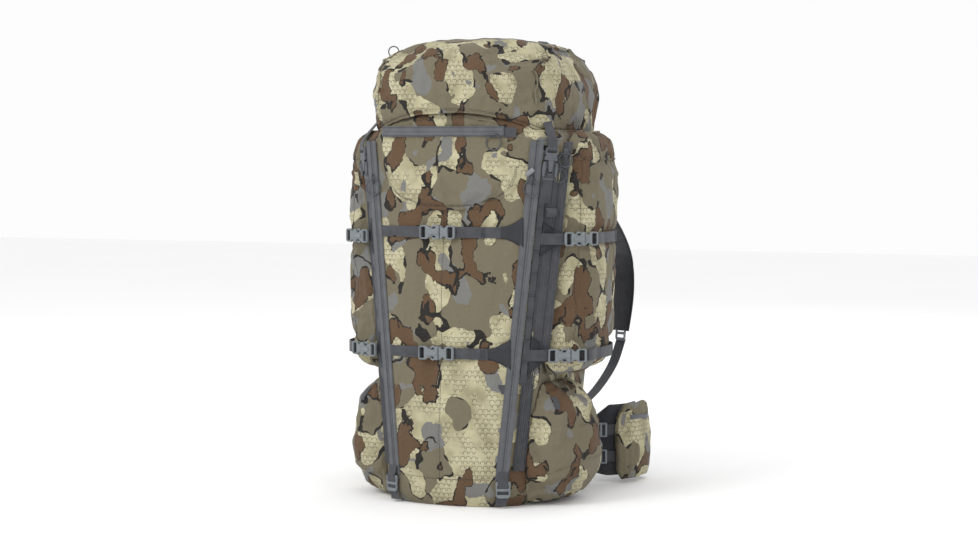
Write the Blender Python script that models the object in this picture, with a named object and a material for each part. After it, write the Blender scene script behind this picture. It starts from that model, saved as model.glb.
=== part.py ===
"""Hunting backpack: a tall load-carrying pack that stands on its flat base.

Metres, +Z up. The front of the pack faces -Y, the wearer's back is at +Y, and the
origin is the middle of the base, on the floor. The bag is sewn from separate panels
around an open main compartment, with a hinged lid over it, stuffed pockets on its
sides, buckled straps, zips with ring pulls, a shoulder harness and a hip belt.
"""

import math

import bmesh
import bpy
from mathutils import Vector

# ---------------------------------------------------------------- driving dimensions
SIDES = (("left", -1), ("right", 1))
SEAM_GAP = 0.001            # free space between sewn soft pieces
WALL = 0.005                # padded fabric wall
BODY_TOP = 0.662            # top edge of the bag's walls
FRONT_ARCH = 0.042          # rise of the front panel's top edge in the middle
BASE_HEIGHT = 0.022         # padded base
BACK_Y = 0.107              # inner face of the rear wall
REAR_THICKNESS = 0.008

ZIP_HALF_AT_BASE = 0.100    # half distance between the two front zips at Z = 0
ZIP_HALF_RISE = 0.096       # and how it grows with height
FRONT_Y_AT_BASE = -0.200    # plane of the front zips at Z = 0
FRONT_Y_RISE = 0.040
CROWN = 0.018               # how far the front panel's middle bulges
CROWN_TOP = 0.005           # the same under the lid
CROWN_FADE = (0.50, 0.665)
CORNER = 0.036              # size of the slanted corner panel, front and side

POCKET_OUT_X = 0.248        # outermost reach of the side pockets
POCKET_BULGE = 0.6          # exponent of the pockets' rounded outline
WEBBING = 0.020             # compression webbing width
WEB_THICKNESS = 0.0015
HUG = 0.0015                # webbing stands this far off the surface it lies on

BUCKLE_LENGTH = 0.070
BUCKLE_HALF_WIDTH = 0.0135
BUCKLE_HEIGHT = 0.011
BUCKLE_MOUTH = 0.005        # mouth of the socket, measured from the buckle's middle

BOTTOM_STRAP_TURN = math.radians(22)

LID_HALF = (0.190, 0.163)   # half width and half depth
LID_CENTRE_Y = -0.030
LID_POWER = (3.5, 6.0)      # roundness of the front and the rear corners
LID_TOP = 0.8475
LID_HEM = 0.668             # hem at the corners
LID_ARCH = 0.050            # rise of the hem in the middle of the front
LID_HINGE = (0.0, 0.118, 0.672)

STRAP_X = 0.152             # middle of a shoulder strap
STRAP_WIDTH = 0.065
STRAP_THICKNESS = 0.012
STRAP_TURN = math.radians(28)
HARNESS_HINGE = (0.0, 0.127, 0.556)
STERNUM_Z = 0.392

HIP_HINGE = (0.100, 0.136)
RING_RADIUS = 0.014
RING_WIRE = 0.0014
RING_N = 0.0060             # height of the ring's wire in the slider's eye
PULL_GAP = 0.0008           # keeps the pocket's slider off the pocket all the way along

COLOURS = {                 # base colour, roughness, metallic
    "camo_cloth": ((0.20, 0.17, 0.11, 1.0), 0.85, 0.0),
    "dark_cloth": ((0.03, 0.03, 0.033, 1.0), 0.9, 0.0),
    "webbing": ((0.09, 0.09, 0.10, 1.0), 0.8, 0.0),
    "buckle_plastic": ((0.24, 0.28, 0.31, 1.0), 0.45, 0.0),
    "frame_plastic": ((0.5, 0.5, 0.48, 1.0), 0.5, 0.0),
    "zip_metal": ((0.35, 0.35, 0.36, 1.0), 0.4, 0.8),
}


# ---------------------------------------------------------------- building helpers
def lerp(start, end, share):
    """The value a share of the way from start to end, with the share kept in 0..1."""
    return start + (end - start) * min(1.0, max(0.0, share))


def curve_through(points, per_span=4):
    """A smooth line through the given points (Catmull-Rom)."""
    knots = [Vector(p) for p in points]
    knots = [2 * knots[0] - knots[1]] + knots + [2 * knots[-1] - knots[-2]]
    line = []
    for a, b, c, d in zip(knots, knots[1:], knots[2:], knots[3:]):
        for step in range(per_span):
            t = step / per_span
            line.append(0.5 * (2 * b + (c - a) * t + (2 * a - 5 * b + 4 * c - d) * t * t
                               + (3 * b - 3 * c + d - a) * t ** 3))
    return line + [knots[-2]]


def frame(centre, along, across, outward):
    """A function from (along, across, outward) distances to a place."""
    centre, along, across, outward = map(Vector, (centre, along, across, outward))
    return lambda a, v, n: centre + along * a + across * v + outward * n


def material(name):
    """The named material, made the first time it is asked for."""
    found = bpy.data.materials.get(name)
    if found:
        return found
    colour, roughness, metallic = COLOURS[name]
    made = bpy.data.materials.new(name)
    made.use_nodes = True
    shader = made.node_tree.nodes["Principled BSDF"]
    shader.inputs["Base Color"].default_value = colour
    shader.inputs["Roughness"].default_value = roughness
    shader.inputs["Metallic"].default_value = metallic
    made.diffuse_color = colour
    return made


def solid(name, rings, finish, origin=(0, 0, 0), endless=False):
    """One closed body through a row of rings of points.

    A first or last ring of one point is a pole, any other end is capped, and an
    endless body joins its last ring to its first. The origin is the object's own.
    """
    origin = Vector(origin)
    mesh = bmesh.new()
    rows = [[mesh.verts.new(Vector(p) - origin) for p in ring] for ring in rings]
    pairs = list(zip(rows, rows[1:] + rows[:1])) if endless else list(zip(rows, rows[1:]))
    for low, high in pairs:
        count = max(len(low), len(high))
        for i in range(count):
            j = (i + 1) % count
            if len(low) == 1:
                corners = (low[0], high[i], high[j])
            elif len(high) == 1:
                corners = (low[i], low[j], high[0])
            else:
                corners = (low[i], low[j], high[j], high[i])
            mesh.faces.new(corners)
    if not endless:
        for end in (rows[0], rows[-1]):
            if len(end) > 1:
                mesh.faces.new(end)
    bmesh.ops.triangulate(mesh, faces=mesh.faces)
    bmesh.ops.recalc_face_normals(mesh, faces=mesh.faces)
    data = bpy.data.meshes.new(name)
    mesh.to_mesh(data)
    mesh.free()
    data.shade_smooth()
    data.set_sharp_from_angle(angle=math.radians(40))
    data.materials.append(material(finish))
    made = bpy.data.objects.new(name, data)
    made.location = origin
    bpy.context.scene.collection.objects.link(made)
    return made


def band_rings(path, across, width, thickness):
    """Rectangular sections along a path. Across and width may be one per point."""
    path = [Vector(p) for p in path]
    acrosses = across if isinstance(across, list) else [across] * len(path)
    widths = width if isinstance(width, list) else [width] * len(path)
    rings = []
    for i, point in enumerate(path):
        tangent = path[min(i + 1, len(path) - 1)] - path[max(i - 1, 0)]
        side = Vector(acrosses[i]).normalized()
        normal = side.cross(tangent).normalized() * thickness / 2
        side = side * widths[i] / 2
        rings.append([point - side - normal, point + side - normal,
                      point + side + normal, point - side + normal])
    return rings


def moved_out(plan, distance):
    """A plan line that runs from the front to the back of the right side, moved out."""
    line = []
    for i, (x, y) in enumerate(plan):
        ahead, behind = plan[min(i + 1, len(plan) - 1)], plan[max(i - 1, 0)]
        dx, dy = ahead[0] - behind[0], ahead[1] - behind[1]
        size = math.hypot(dx, dy)
        line.append((x + dy / size * distance, y - dx / size * distance))
    return line


def mirrored(points, side):
    """The points of a right-hand piece, put on the given side."""
    return [Vector((p[0] * side, p[1], p[2])) for p in points]


# ---------------------------------------------------------------- shape of the bag
def zip_half(z):
    """Half the distance between the front zips at height z."""
    return ZIP_HALF_AT_BASE + ZIP_HALF_RISE * z


def front_y(z):
    """The plane that both front zips lie in."""
    return FRONT_Y_AT_BASE + FRONT_Y_RISE * z


def crown(z):
    """The bulge of the front panel's middle at height z."""
    low, high = CROWN_FADE
    return lerp(CROWN, CROWN_TOP, (z - low) / (high - low))


def front_face(x, z):
    """Y of the front panel's outer face."""
    return front_y(z) - crown(z) * (1 - (x / zip_half(z)) ** 2)


def wall_x(z):
    """Outer face of the bag's side wall."""
    return zip_half(z) + CORNER


def pocket_line(z, depth=1.0, length=1.0, count=16):
    """Outer plan line of a right side pocket at height z, from front to back."""
    start, end = front_y(z) + CORNER + 0.003, 0.082 - 0.05 * max(0.0, 0.6 - z)
    middle, half = (start + end) / 2, (end - start) / 2 * length
    inner = wall_x(z) + SEAM_GAP
    reach = (POCKET_OUT_X - inner) * depth
    angles = [math.pi * i / count for i in range(count + 1)]
    return [(inner + reach * math.sin(a) ** POCKET_BULGE, middle - half * math.cos(a))
            for a in angles]


def lower_pocket_line(z, reach, length, count=14):
    """Outer plan line of a right lower pocket at height z, from front to back."""
    middle, half = -0.070, 0.100 * length
    inner = wall_x(z) + SEAM_GAP
    angles = [math.pi * i / count for i in range(count + 1)]
    return [(inner + reach * math.sin(a) ** POCKET_BULGE, middle - half * math.cos(a))
            for a in angles]


# ---------------------------------------------------------------- bag panels
def base_outline(z, inset):
    """Plan outline of the base, drawn in by a distance."""
    half, y = zip_half(z), front_y(z)
    columns = [half * (i / 5 - 1) for i in range(11)]
    outline = [(x, front_face(x, z)) for x in columns]
    outline += [(wall_x(z), y + CORNER), (wall_x(z), BACK_Y + REAR_THICKNESS)]
    outline += [(-wall_x(z), BACK_Y + REAR_THICKNESS), (-wall_x(z), y + CORNER)]
    middle_y, share_x, share_y = -0.045, 1 - inset / 0.14, 1 - inset / 0.16
    return [(x * share_x, middle_y + (py - middle_y) * share_y, z) for x, py in outline]


def make_panels():
    """The base, front, side and rear walls of the main compartment."""
    levels = ((0.0, 0.008), (0.006, 0.002), (BASE_HEIGHT, 0.0))
    solid("base_panel", [base_outline(z, inset) for z, inset in levels], "camo_cloth")

    heights = (BASE_HEIGHT + SEAM_GAP, 0.08, 0.20, 0.32, 0.44, 0.50, 0.58, 0.64, BODY_TOP)
    rings = []
    for z in heights:
        edge, arch = zip_half(z) - 0.003, FRONT_ARCH if z == BODY_TOP else 0.0
        columns = [edge * (i / 5 - 1) for i in range(11)]
        rise = [arch * (1 - (x / edge) ** 2) for x in columns]
        outer = [(x, front_face(x, z + up), z + up) for x, up in zip(columns, rise)]
        inner = [(x, front_y(z + up) + WALL, z + up) for x, up in zip(columns, rise)]
        rings.append(outer + inner[::-1])
    solid("front_panel", rings, "camo_cloth")

    low, high = BASE_HEIGHT + SEAM_GAP, BODY_TOP
    for name, side in SIDES:
        rings = []
        for z in (low, high):
            half, y, wall = zip_half(z), front_y(z), wall_x(z)
            ring = [(half + 0.003, y), (wall, y + CORNER), (wall, BACK_Y - SEAM_GAP),
                    (wall - WALL, BACK_Y - SEAM_GAP), (wall - WALL, y + CORNER + 0.002),
                    (half + 0.003, y + 0.007)]
            rings.append(mirrored([(x, py, z) for x, py in ring], side))
        solid(f"{name}_side_panel", rings, "camo_cloth")

    rings = [[(-wall_x(z), BACK_Y, z), (wall_x(z), BACK_Y, z),
              (wall_x(z), BACK_Y + REAR_THICKNESS, z),
              (-wall_x(z), BACK_Y + REAR_THICKNESS, z)] for z in (low, high)]
    solid("rear_panel", rings, "dark_cloth")

    sheet = [(-0.118, 0.103), (0.118, 0.103), (0.118, 0.105), (-0.118, 0.105)]
    solid("frame_sheet", [[(x, y, z) for x, y in sheet] for z in (0.030, 0.640)],
          "frame_plastic")


def pocket_depth(z):
    """Thickness of the front pocket's middle: thin at its lower seam and at its zip."""
    return min(lerp(0.003, 0.012, (z - 0.535) / 0.03), lerp(0.012, 0.006, (z - 0.60) / 0.04))


def make_front_pocket():
    """The flat zipped pocket high on the front panel, with its rounded lower edge."""
    low, widest, half = 0.535, 0.618, 0.140
    rings = []
    for z in (low, 0.541, 0.552, 0.570, 0.594, widest, 0.645, 0.684):
        drop = max(0.0, (widest - z) / (widest - low))
        reach = half * max(0.35, (1 - drop ** 2.4) ** (1 / 2.4))
        depth = pocket_depth(z)
        columns = [reach * (i / 5 - 1) for i in range(11)]
        back = [(x, front_face(x, z) - SEAM_GAP, z) for x in columns]
        front = [(x, front_face(x, z) - SEAM_GAP - depth * (1 - 0.7 * (x / reach) ** 4), z)
                 for x in reversed(columns)]
        rings.append(back + front)
    solid("front_pocket", rings, "camo_cloth")


def make_side_pockets():
    """The long stuffed pockets on both sides and the round ones below them."""
    long_levels = ((0.236, 0.45, 0.80), (0.248, 0.75, 0.92), (0.262, 0.96, 0.985),
                   (0.290, 1.0, 1.0), (0.400, 1.0, 1.0), (0.520, 1.0, 1.0), (0.600, 1.0, 1.0),
                   (0.640, 0.92, 0.97), (0.665, 0.72, 0.88), (0.680, 0.42, 0.70))
    low_levels = ((0.004, 0.052, 0.72), (0.022, 0.080, 0.90), (0.055, 0.095, 1.0),
                  (0.095, 0.099, 1.0), (0.140, 0.092, 0.98), (0.180, 0.066, 0.92),
                  (0.208, 0.036, 0.80), (0.222, 0.018, 0.66))
    for name, side in SIDES:
        rings = [mirrored([(x, y, z) for x, y in pocket_line(z, depth, length)], side)
                 for z, depth, length in long_levels]
        solid(f"{name}_side_pocket", rings, "camo_cloth")
        rings = [mirrored([(x, y, z) for x, y in lower_pocket_line(z, reach, length)], side)
                 for z, reach, length in low_levels]
        solid(f"{name}_lower_pocket", rings, "camo_cloth")


# ---------------------------------------------------------------- lid
def lid_ring(z, share, arch=0.0):
    """A rounded-box ring of the lid. The hem's ring rises in the middle of the front."""
    ring = []
    for step in range(36):
        angle = 2 * math.pi * (step + 0.5) / 36
        c, s = math.cos(angle), math.sin(angle)
        power = 2 / LID_POWER[s > 0]
        x = LID_HALF[0] * share * math.copysign(abs(c) ** power, c)
        y = LID_HALF[1] * share * math.copysign(abs(s) ** power, s)
        lift = arch * (1 - (x / LID_HALF[0]) ** 2) if y < 0 else 0.0
        ring.append((x, LID_CENTRE_Y + y, z + lift))
    return ring


def make_lid():
    """The domed top pocket, hinged along the rear edge."""
    rings = [[(0.0, LID_CENTRE_Y, LID_HEM + 0.035)]]
    rings.append(lid_ring(LID_HEM, 0.955, LID_ARCH))
    rings.append(lid_ring(0.705, 0.985, LID_ARCH * 0.4))
    rings += [lid_ring(z, share) for z, share in
              ((0.745, 1.0), (0.785, 0.975), (0.812, 0.90), (0.830, 0.76), (0.842, 0.52))]
    rings.append([(0.0, LID_CENTRE_Y, LID_TOP)])
    solid("lid", rings, "camo_cloth", origin=LID_HINGE)


# ---------------------------------------------------------------- buckles
def section(place, along, half, low, high, chamfer=0.0015):
    """An eight-sided section across a buckle part."""
    c = chamfer
    outline = ((c - half, low), (half - c, low), (half, low + c), (half, high - c),
               (half - c, high), (c - half, high), (-half, high - c), (-half, low + c))
    return [place(along, v, n) for v, n in outline]


def make_buckle(name, centre, along, outward):
    """A side-release buckle: a socket, and a clip whose prongs sit in its mouth."""
    along, outward = Vector(along).normalized(), Vector(outward).normalized()
    place = frame(centre, along, outward.cross(along), outward)
    end, half = BUCKLE_LENGTH / 2, BUCKLE_HALF_WIDTH
    low, high = 0.0004, BUCKLE_HEIGHT
    socket = [section(place, -end, half * 0.85, low, high - 0.002),
              section(place, -end + 0.012, half, low, high),
              section(place, BUCKLE_MOUTH, half, low, high),
              section(place, BUCKLE_MOUTH, half - 0.0025, low + 0.0018, high - 0.0018, 0.001),
              section(place, -0.017, half - 0.0025, low + 0.0018, high - 0.0018, 0.001)]
    solid(f"{name}_buckle_socket", socket, "buckle_plastic", origin=centre)
    start = BUCKLE_MOUTH + 0.0005
    clip = [section(place, end, half * 0.9, low, high - 0.003),
            section(place, end - 0.010, half, low, high - 0.001),
            section(place, start, half, low, high - 0.001),
            section(place, start, half - 0.0045, low + 0.003, high - 0.003, 0.0008),
            section(place, -0.014, half - 0.0055, low + 0.0035, high - 0.0035, 0.0008)]
    solid(f"{name}_buckle_clip", clip, "buckle_plastic", origin=centre)


def make_front_straps():
    """Two straps sewn to the front panel, each closed by a buckle near the middle."""
    for name, z, half, middle in (("front_upper", 0.497, 0.126, -0.017),
                                  ("front_lower", 0.278, 0.108, -0.016)):
        plan = [(half * (i / 8 - 1), front_face(half * (i / 8 - 1), z)) for i in range(17)]
        line = moved_out(plan, HUG + WEB_THICKNESS / 2)
        rings = band_rings([(x, y, z) for x, y in line], (0, 0, 1), WEBBING, WEB_THICKNESS)
        solid(f"{name}_strap", rings, "webbing")
        lean = 2 * crown(z) * middle / zip_half(z) ** 2
        outward = Vector((lean, -1, 0)).normalized()
        top = Vector((middle, front_face(middle, z), z)) + outward * (HUG + WEB_THICKNESS)
        make_buckle(name, top + outward * 0.0012, (1, lean, 0), outward)


def side_strap_line(z, turn):
    """Plan line of a right side strap, its buckle's middle, and the buckle's direction.

    The strap starts on the slanted corner panel and ends behind the pocket. Its buckle
    lies where the strap touches the pocket at `turn`, or, with no turn, on the straight
    stretch between the corner panel and the pocket.
    """
    hug = HUG + WEB_THICKNESS / 2
    start = Vector((zip_half(z) + 0.003, front_y(z)))
    end = Vector((wall_x(z), front_y(z) + CORNER))
    root = start.lerp(end, 0.35) + Vector((1, -1)).normalized() * hug
    line = [Vector(p) for p in moved_out(pocket_line(z, 1.0, 1.0, 60), hug)]
    reach = BUCKLE_LENGTH / 2 + 0.003
    if turn is None:
        touch = min(range(1, 30), key=lambda i: math.atan2(*reversed(line[i] - root)))
        along = (line[touch] - root).normalized()
        middle, path, skip = root + along * (reach + 0.004), [root, line[touch]], 0.010
    else:
        touch = round(turn * 60)
        along, middle = (line[touch + 1] - line[touch - 1]).normalized(), line[touch]
        path, skip = [root, middle - along * reach, middle, middle + along * reach], 0.066
    travelled = 0.0
    for here, there in zip(line[touch:-4], line[touch + 1:-3]):
        travelled += (there - here).length
        if travelled > skip and (there - path[-1]).length > 0.012:
            path.append(there)
    return path, middle, along


def make_side_straps():
    """Four straps from the slanted corners round the side pockets, each with a buckle."""
    rows = (("upper", 0.486, {"left": None, "right": 0.17}),
            ("lower", 0.276, {"left": None, "right": 0.12}))
    for row, z, turns in rows:
        for name, side in SIDES:
            plan, middle, along = side_strap_line(z, turns[name])
            path = mirrored([(p.x, p.y, z) for p in plan], side)
            rings = band_rings(path, (0, 0, 1), WEBBING, WEB_THICKNESS)
            solid(f"{name}_{row}_side_strap", rings, "webbing")
            outward = Vector((along.y * side, -along.x, 0))
            centre = Vector((middle.x * side, middle.y, z))
            make_buckle(f"{name}_{row}", centre + outward * (WEB_THICKNESS / 2 + 0.0012),
                        (along.x * side, along.y, 0), outward)


def make_lid_buckles():
    """The two upright buckles that hold the lid down at the front corners.

    Each socket is open to the front and top, so that the clip leaves it as the lid
    swings up.
    """
    foot_z, socket_length, clip_length = 0.596, 0.030, 0.024
    for name, side in SIDES:
        up = Vector((ZIP_HALF_RISE * side, FRONT_Y_RISE, 1)).normalized()
        outward = Vector((side, -1, 0)).normalized()
        outward = (outward - up * outward.dot(up)).normalized()
        x = (zip_half(foot_z) + wall_x(foot_z) + 0.003) / 2
        foot = Vector((x * side, front_y(foot_z) + CORNER / 2, foot_z)) + outward * 0.002
        place = frame(foot, up, outward.cross(up), outward)
        wall, inside, high, low = 0.0135, 0.0115, 0.010, 0.0022
        channel = ((-wall, 0), (wall, 0), (wall, high), (inside, high), (inside, low),
                   (-inside, low), (-inside, high), (-wall, high))
        rings = [[place(a, v, n) for v, n in channel] for a in (0, socket_length)]
        solid(f"{name}_lid_socket", rings, "buckle_plastic")
        start = socket_length + 0.0006
        clip = [section(place, 0.010, 0.005, 0.0045, 0.0080, 0.0008),
                section(place, start, 0.006, 0.0040, 0.0085, 0.0008),
                section(place, start, 0.013, 0.0010, 0.0095),
                section(place, start + clip_length, 0.0115, 0.0010, 0.0080)]
        solid(f"{name}_lid_clip", clip, "buckle_plastic", origin=LID_HINGE)


# ---------------------------------------------------------------- bottom straps
def make_bottom_straps():
    """Short straps at the foot of the front panel with a ladder lock on each."""
    low_z, high_z, bar_z = 0.004, 0.064, 0.046
    hug = HUG + WEB_THICKNESS / 2
    for name, side in SIDES:
        across = Vector((math.cos(BOTTOM_STRAP_TURN), math.sin(BOTTOM_STRAP_TURN) * side, 0))
        outward = Vector((across.y, -across.x, 0))
        heights = [lerp(low_z, high_z, i / 6) for i in range(7)]
        path = [Vector(((zip_half(z) + 0.003) * side, front_y(z), z)) + outward * hug
                for z in heights]
        solid(f"{name}_bottom_strap", band_rings(path, across, WEBBING, WEB_THICKNESS),
              "webbing")
        corner = Vector(((zip_half(bar_z) + 0.003) * side, front_y(bar_z), bar_z))
        hinge = corner + outward * 0.0062
        place = frame(hinge, (0, 0, 1), across, outward)
        outer, inner, drop, thick = (0.0135, 0.0150), (0.0105, 0.0115), -0.0125, 0.0022
        rings = []
        for cx, cz in ((-1, -1), (1, -1), (1, 1), (-1, 1)):
            corners = ((outer, -thick), (inner, -thick), (inner, thick), (outer, thick))
            rings.append([place(drop + cz * h, cx * w, depth) for (w, h), depth in corners])
        solid(f"{name}_bottom_ladder_lock", rings, "buckle_plastic", origin=hinge,
              endless=True)


# ---------------------------------------------------------------- zips
def make_slider(name, eye, along, outward):
    """A zip slider: a plate that folds over into a hook, and a ring through the hook."""
    along, outward = Vector(along).normalized(), Vector(outward).normalized()
    across = along.cross(outward)
    place = frame(eye, along, across, outward)
    fold = ((-0.008, 0.0020, 0.009), (0.006, 0.0020, 0.009), (0.0095, 0.0030, 0.0045),
            (0.0112, 0.0053, 0.0035), (0.0100, 0.0078, 0.0035), (0.0070, 0.0090, 0.0035),
            (0.0, 0.0092, 0.0035), (-0.0035, 0.0085, 0.0035), (-0.0052, 0.0066, 0.0035),
            (-0.0054, 0.0052, 0.0035))
    path = [place(a, 0, n) for a, n, _ in fold]
    rings = band_rings(path, across, [w for _, _, w in fold], 0.0016)
    solid(f"{name}_slider", rings, "zip_metal", origin=eye)
    pivot = place(0, 0, RING_N)
    rings = []
    for step in range(18):
        turn = 2 * math.pi * step / 18
        spoke = along * math.cos(turn) + across * math.sin(turn)
        middle = pivot - along * RING_RADIUS + spoke * RING_RADIUS
        rings.append([middle + (spoke * math.cos(a) + outward * math.sin(a)) * RING_WIRE
                      for a in (math.pi / 3 * i for i in range(6))])
    solid(f"{name}_ring", rings, "zip_metal", origin=pivot, endless=True)


def make_zip_pulls():
    """The sliders on the two long front zips and on the front pocket's zip."""
    for name, side in SIDES:
        z = 0.590
        eye = (zip_half(z) * side, front_y(z) - 0.0012, z)
        make_slider(f"{name}_front_zip", eye, (ZIP_HALF_RISE * side, FRONT_Y_RISE, 1),
                    (0, -1, FRONT_Y_RISE))
    z = 0.673
    eye = (0.084, front_face(0.0, z) - SEAM_GAP - pocket_depth(z) - PULL_GAP, z)
    along, outward = Vector((1, 0, 0)), Vector((0, -1, 0))
    place = frame(eye, along, (0, 0, 1), outward)
    body = [section(place, a, half, 0.0006, high, 0.0006)
            for a, half, high in ((-0.008, 0.0035, 0.0030), (-0.002, 0.0045, 0.0045),
                                  (0.007, 0.0045, 0.0045), (0.009, 0.0030, 0.0030))]
    solid("pocket_zip_slider", body, "zip_metal", origin=eye)
    pivot = place(0.0025, 0, RING_N + 0.0006)
    rings = []
    for step in range(18):
        turn = 2 * math.pi * step / 18
        spoke = Vector((math.sin(turn), 0, math.cos(turn)))
        middle = pivot - Vector((0, 0, RING_RADIUS)) + spoke * RING_RADIUS
        rings.append([middle + (spoke * math.cos(a) + outward * math.sin(a)) * RING_WIRE
                      for a in (math.pi / 3 * i for i in range(6))])
    solid("pocket_zip_ring", rings, "zip_metal", origin=pivot, endless=True)


# ---------------------------------------------------------------- back and harness
def make_pads():
    """The padded panels that lie against the wearer's back."""
    face = BACK_Y + REAR_THICKNESS + SEAM_GAP
    for name, half, low, high, depth in (("back_pad", 0.105, 0.200, 0.490, 0.018),
                                         ("lumbar_pad", 0.094, 0.020, 0.185, 0.030)):
        rings = []
        for z, share in ((low, 0.90), (low + 0.012, 1.0), (high - 0.012, 1.0), (high, 0.90)):
            w, d = half * share, depth * share
            rings.append([(-w, face, z), (w, face, z), (w, face + d * 0.5, z),
                          (w * 0.8, face + d, z), (-w * 0.8, face + d, z),
                          (-w, face + d * 0.5, z)])
        solid(name, rings, "dark_cloth")


def shoulder_line():
    """The shoulder strap's middle line in Y and Z, upright where the chest strap slides."""
    return curve_through(((0, 0.127, 0.556), (0, 0.150, 0.541), (0, 0.182, 0.521),
                          (0, 0.222, 0.500), (0, 0.264, 0.476), (0, 0.302, 0.450),
                          (0, 0.330, 0.424), (0, 0.343, 0.400), (0, 0.345, 0.372),
                          (0, 0.345, 0.344), (0, 0.343, 0.316), (0, 0.336, 0.280)), 2)


def make_harness():
    """Shoulder straps, the chest strap between them, and the webbing that holds them."""
    line = shoulder_line()
    reach = len(line) - 1
    turns = [STRAP_TURN * min(1.0, max(0.0, (i / reach - 0.25) / 0.35)) for i in range(len(line))]
    for name, side in SIDES:
        path = [(STRAP_X * side, p.y, p.z) for p in line]
        across = [(math.cos(t), -math.sin(t) * side, 0) for t in turns]
        solid(f"{name}_shoulder_strap", band_rings(path, across, STRAP_WIDTH, STRAP_THICKNESS),
              "dark_cloth", origin=HARNESS_HINGE)

        hang = curve_through(((STRAP_X, 0.3385, 0.2620), (0.150, 0.290, 0.215),
                              (0.145, 0.210, 0.175), (0.140, 0.1235, 0.150)), 3)
        solid(f"{name}_lower_webbing",
              band_rings(mirrored(hang, side), (1, 0, 0), WEBBING, WEB_THICKNESS), "webbing")

        lift = [(0.132, 0.1185, 0.648), (0.140, 0.170, 0.590), (0.150, 0.2420, 0.506)]
        solid(f"{name}_load_lifter",
              band_rings(mirrored(lift, side), (1, 0, 0), WEBBING, WEB_THICKNESS), "webbing")

    face = STRAP_THICKNESS / 2 + HUG + WEB_THICKNESS / 2
    right = [Vector((STRAP_X + math.cos(STRAP_TURN) * a + math.sin(STRAP_TURN) * face,
                     0.345 - math.sin(STRAP_TURN) * a + math.cos(STRAP_TURN) * face,
                     STERNUM_Z)) for a in (0.020, 0.0, -0.034)]
    middle = [Vector((x, right[-1].y + out, STERNUM_Z))
              for x, out in ((0.090, 0.008), (0.040, 0.010))]
    half = right + middle
    path = half + [Vector((-p.x, p.y, p.z)) for p in reversed(half)]
    solid("sternum_strap", band_rings(path, (0, 0, 1), WEBBING, WEB_THICKNESS), "webbing",
          origin=(0, 0.345, STERNUM_Z))


def hip_line():
    """Plan line of the right hip wing."""
    return curve_through(((0.107, 0.136, 0), (0.150, 0.138, 0), (0.186, 0.149, 0),
                          (0.208, 0.171, 0), (0.217, 0.205, 0), (0.215, 0.247, 0),
                          (0.200, 0.290, 0)), 3)


def along_line(line, where):
    """The point at a fractional index of a plan line."""
    index = min(len(line) - 2, int(where))
    return tuple(lerp(a, b, where - index) for a, b in zip(line[index], line[index + 1]))


def shortened(inner, outer, share):
    """A pouch outline with both ends drawn in along the wing."""
    count = len(inner) - 1
    cut = (1 - share) / 2 * count
    spots = [cut + (count - 2 * cut) * i / count for i in range(count + 1)]
    return ([along_line(inner, s) for s in spots]
            + [along_line(outer, s) for s in reversed(spots)])


def make_hip_belt():
    """Hip wings hinged beside the lumbar pad, each with a pouch and half of a buckle."""
    line = hip_line()
    plan = [(p.x, p.y) for p in line]
    for name, side in SIDES:
        hinge = (HIP_HINGE[0] * side, HIP_HINGE[1], 0.075)
        middles, heights = [], []
        for p in line:
            low = lerp(0.022, 0.014, (p.x - 0.155) / 0.03)
            high = lerp(0.126, 0.152, (p.x - 0.160) / 0.03)
            taper = lerp(0.0, 0.030, (p.y - 0.230) / 0.07)
            middles.append(Vector((p.x * side, p.y, (low + high) / 2)))
            heights.append(high - low - 2 * taper)
        solid(f"{name}_hip_wing", band_rings(middles, (0, 0, 1), heights, 0.012),
              "dark_cloth", origin=hinge)

        inner = moved_out(plan, 0.0075)[7:17]
        rings = []
        for z, depth, share in ((0.004, 0.010, 0.86), (0.014, 0.019, 0.96), (0.045, 0.023, 1.0),
                                (0.118, 0.023, 1.0), (0.146, 0.018, 0.96), (0.156, 0.009, 0.86)):
            count = len(inner) - 1
            outer = []
            for i, ((x, y), (ox, oy)) in enumerate(zip(inner, moved_out(inner, depth))):
                swell = math.sin(math.pi * (0.08 + 0.84 * i / count)) ** 0.4
                outer.append((x + (ox - x) * swell, y + (oy - y) * swell))
            loop = shortened(inner, outer, share)
            rings.append(mirrored([(x, y, z) for x, y in loop], side))
        solid(f"{name}_hip_pouch", rings, "camo_cloth", origin=hinge)

        tip, before = Vector(plan[-1]), Vector(plan[-3])
        along = (tip - before).normalized()
        centre = tip + along * 0.034
        place = frame((centre.x * side, centre.y, 0.083), (along.x * side, along.y, 0),
                      (0, 0, 1), (along.y * side, -along.x, 0))
        part = "socket" if side < 0 else "clip"
        rings = [section(place, a, half, -thick, thick) for a, half, thick in
                 ((-0.030, 0.017, 0.004), (-0.018, 0.021, 0.006),
                  (0.018, 0.021, 0.006), (0.030, 0.015, 0.004))]
        solid(f"hip_buckle_{part}", rings, "buckle_plastic", origin=hinge)


def make_grab_handle():
    """The webbing handle on the rear panel, hinged at its sewn top."""
    hinge = Vector((0, BACK_Y + REAR_THICKNESS + 0.006, 0.640))
    arc = [math.pi * i / 8 for i in range(9)]
    path = [Vector((-0.045, 0, 0))] + [Vector((-0.045 * math.cos(a), 0.004 * math.sin(a),
                                              -0.020 - 0.030 * math.sin(a))) for a in arc]
    path.append(Vector((0.045, 0, 0)))
    across = [Vector((0, 1, 0))] * len(path)
    solid("grab_handle", band_rings([hinge + p for p in path], across, 0.004, 0.018),
          "webbing", origin=hinge)


# ---------------------------------------------------------------- the whole pack
def main():
    """Clear the scene and make every piece."""
    for old in list(bpy.data.objects):
        bpy.data.objects.remove(old)
    make_panels()
    make_front_pocket()
    make_side_pockets()
    make_lid()
    make_front_straps()
    make_side_straps()
    make_lid_buckles()
    make_bottom_straps()
    make_zip_pulls()
    make_pads()
    make_harness()
    make_hip_belt()
    make_grab_handle()


main()
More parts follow.
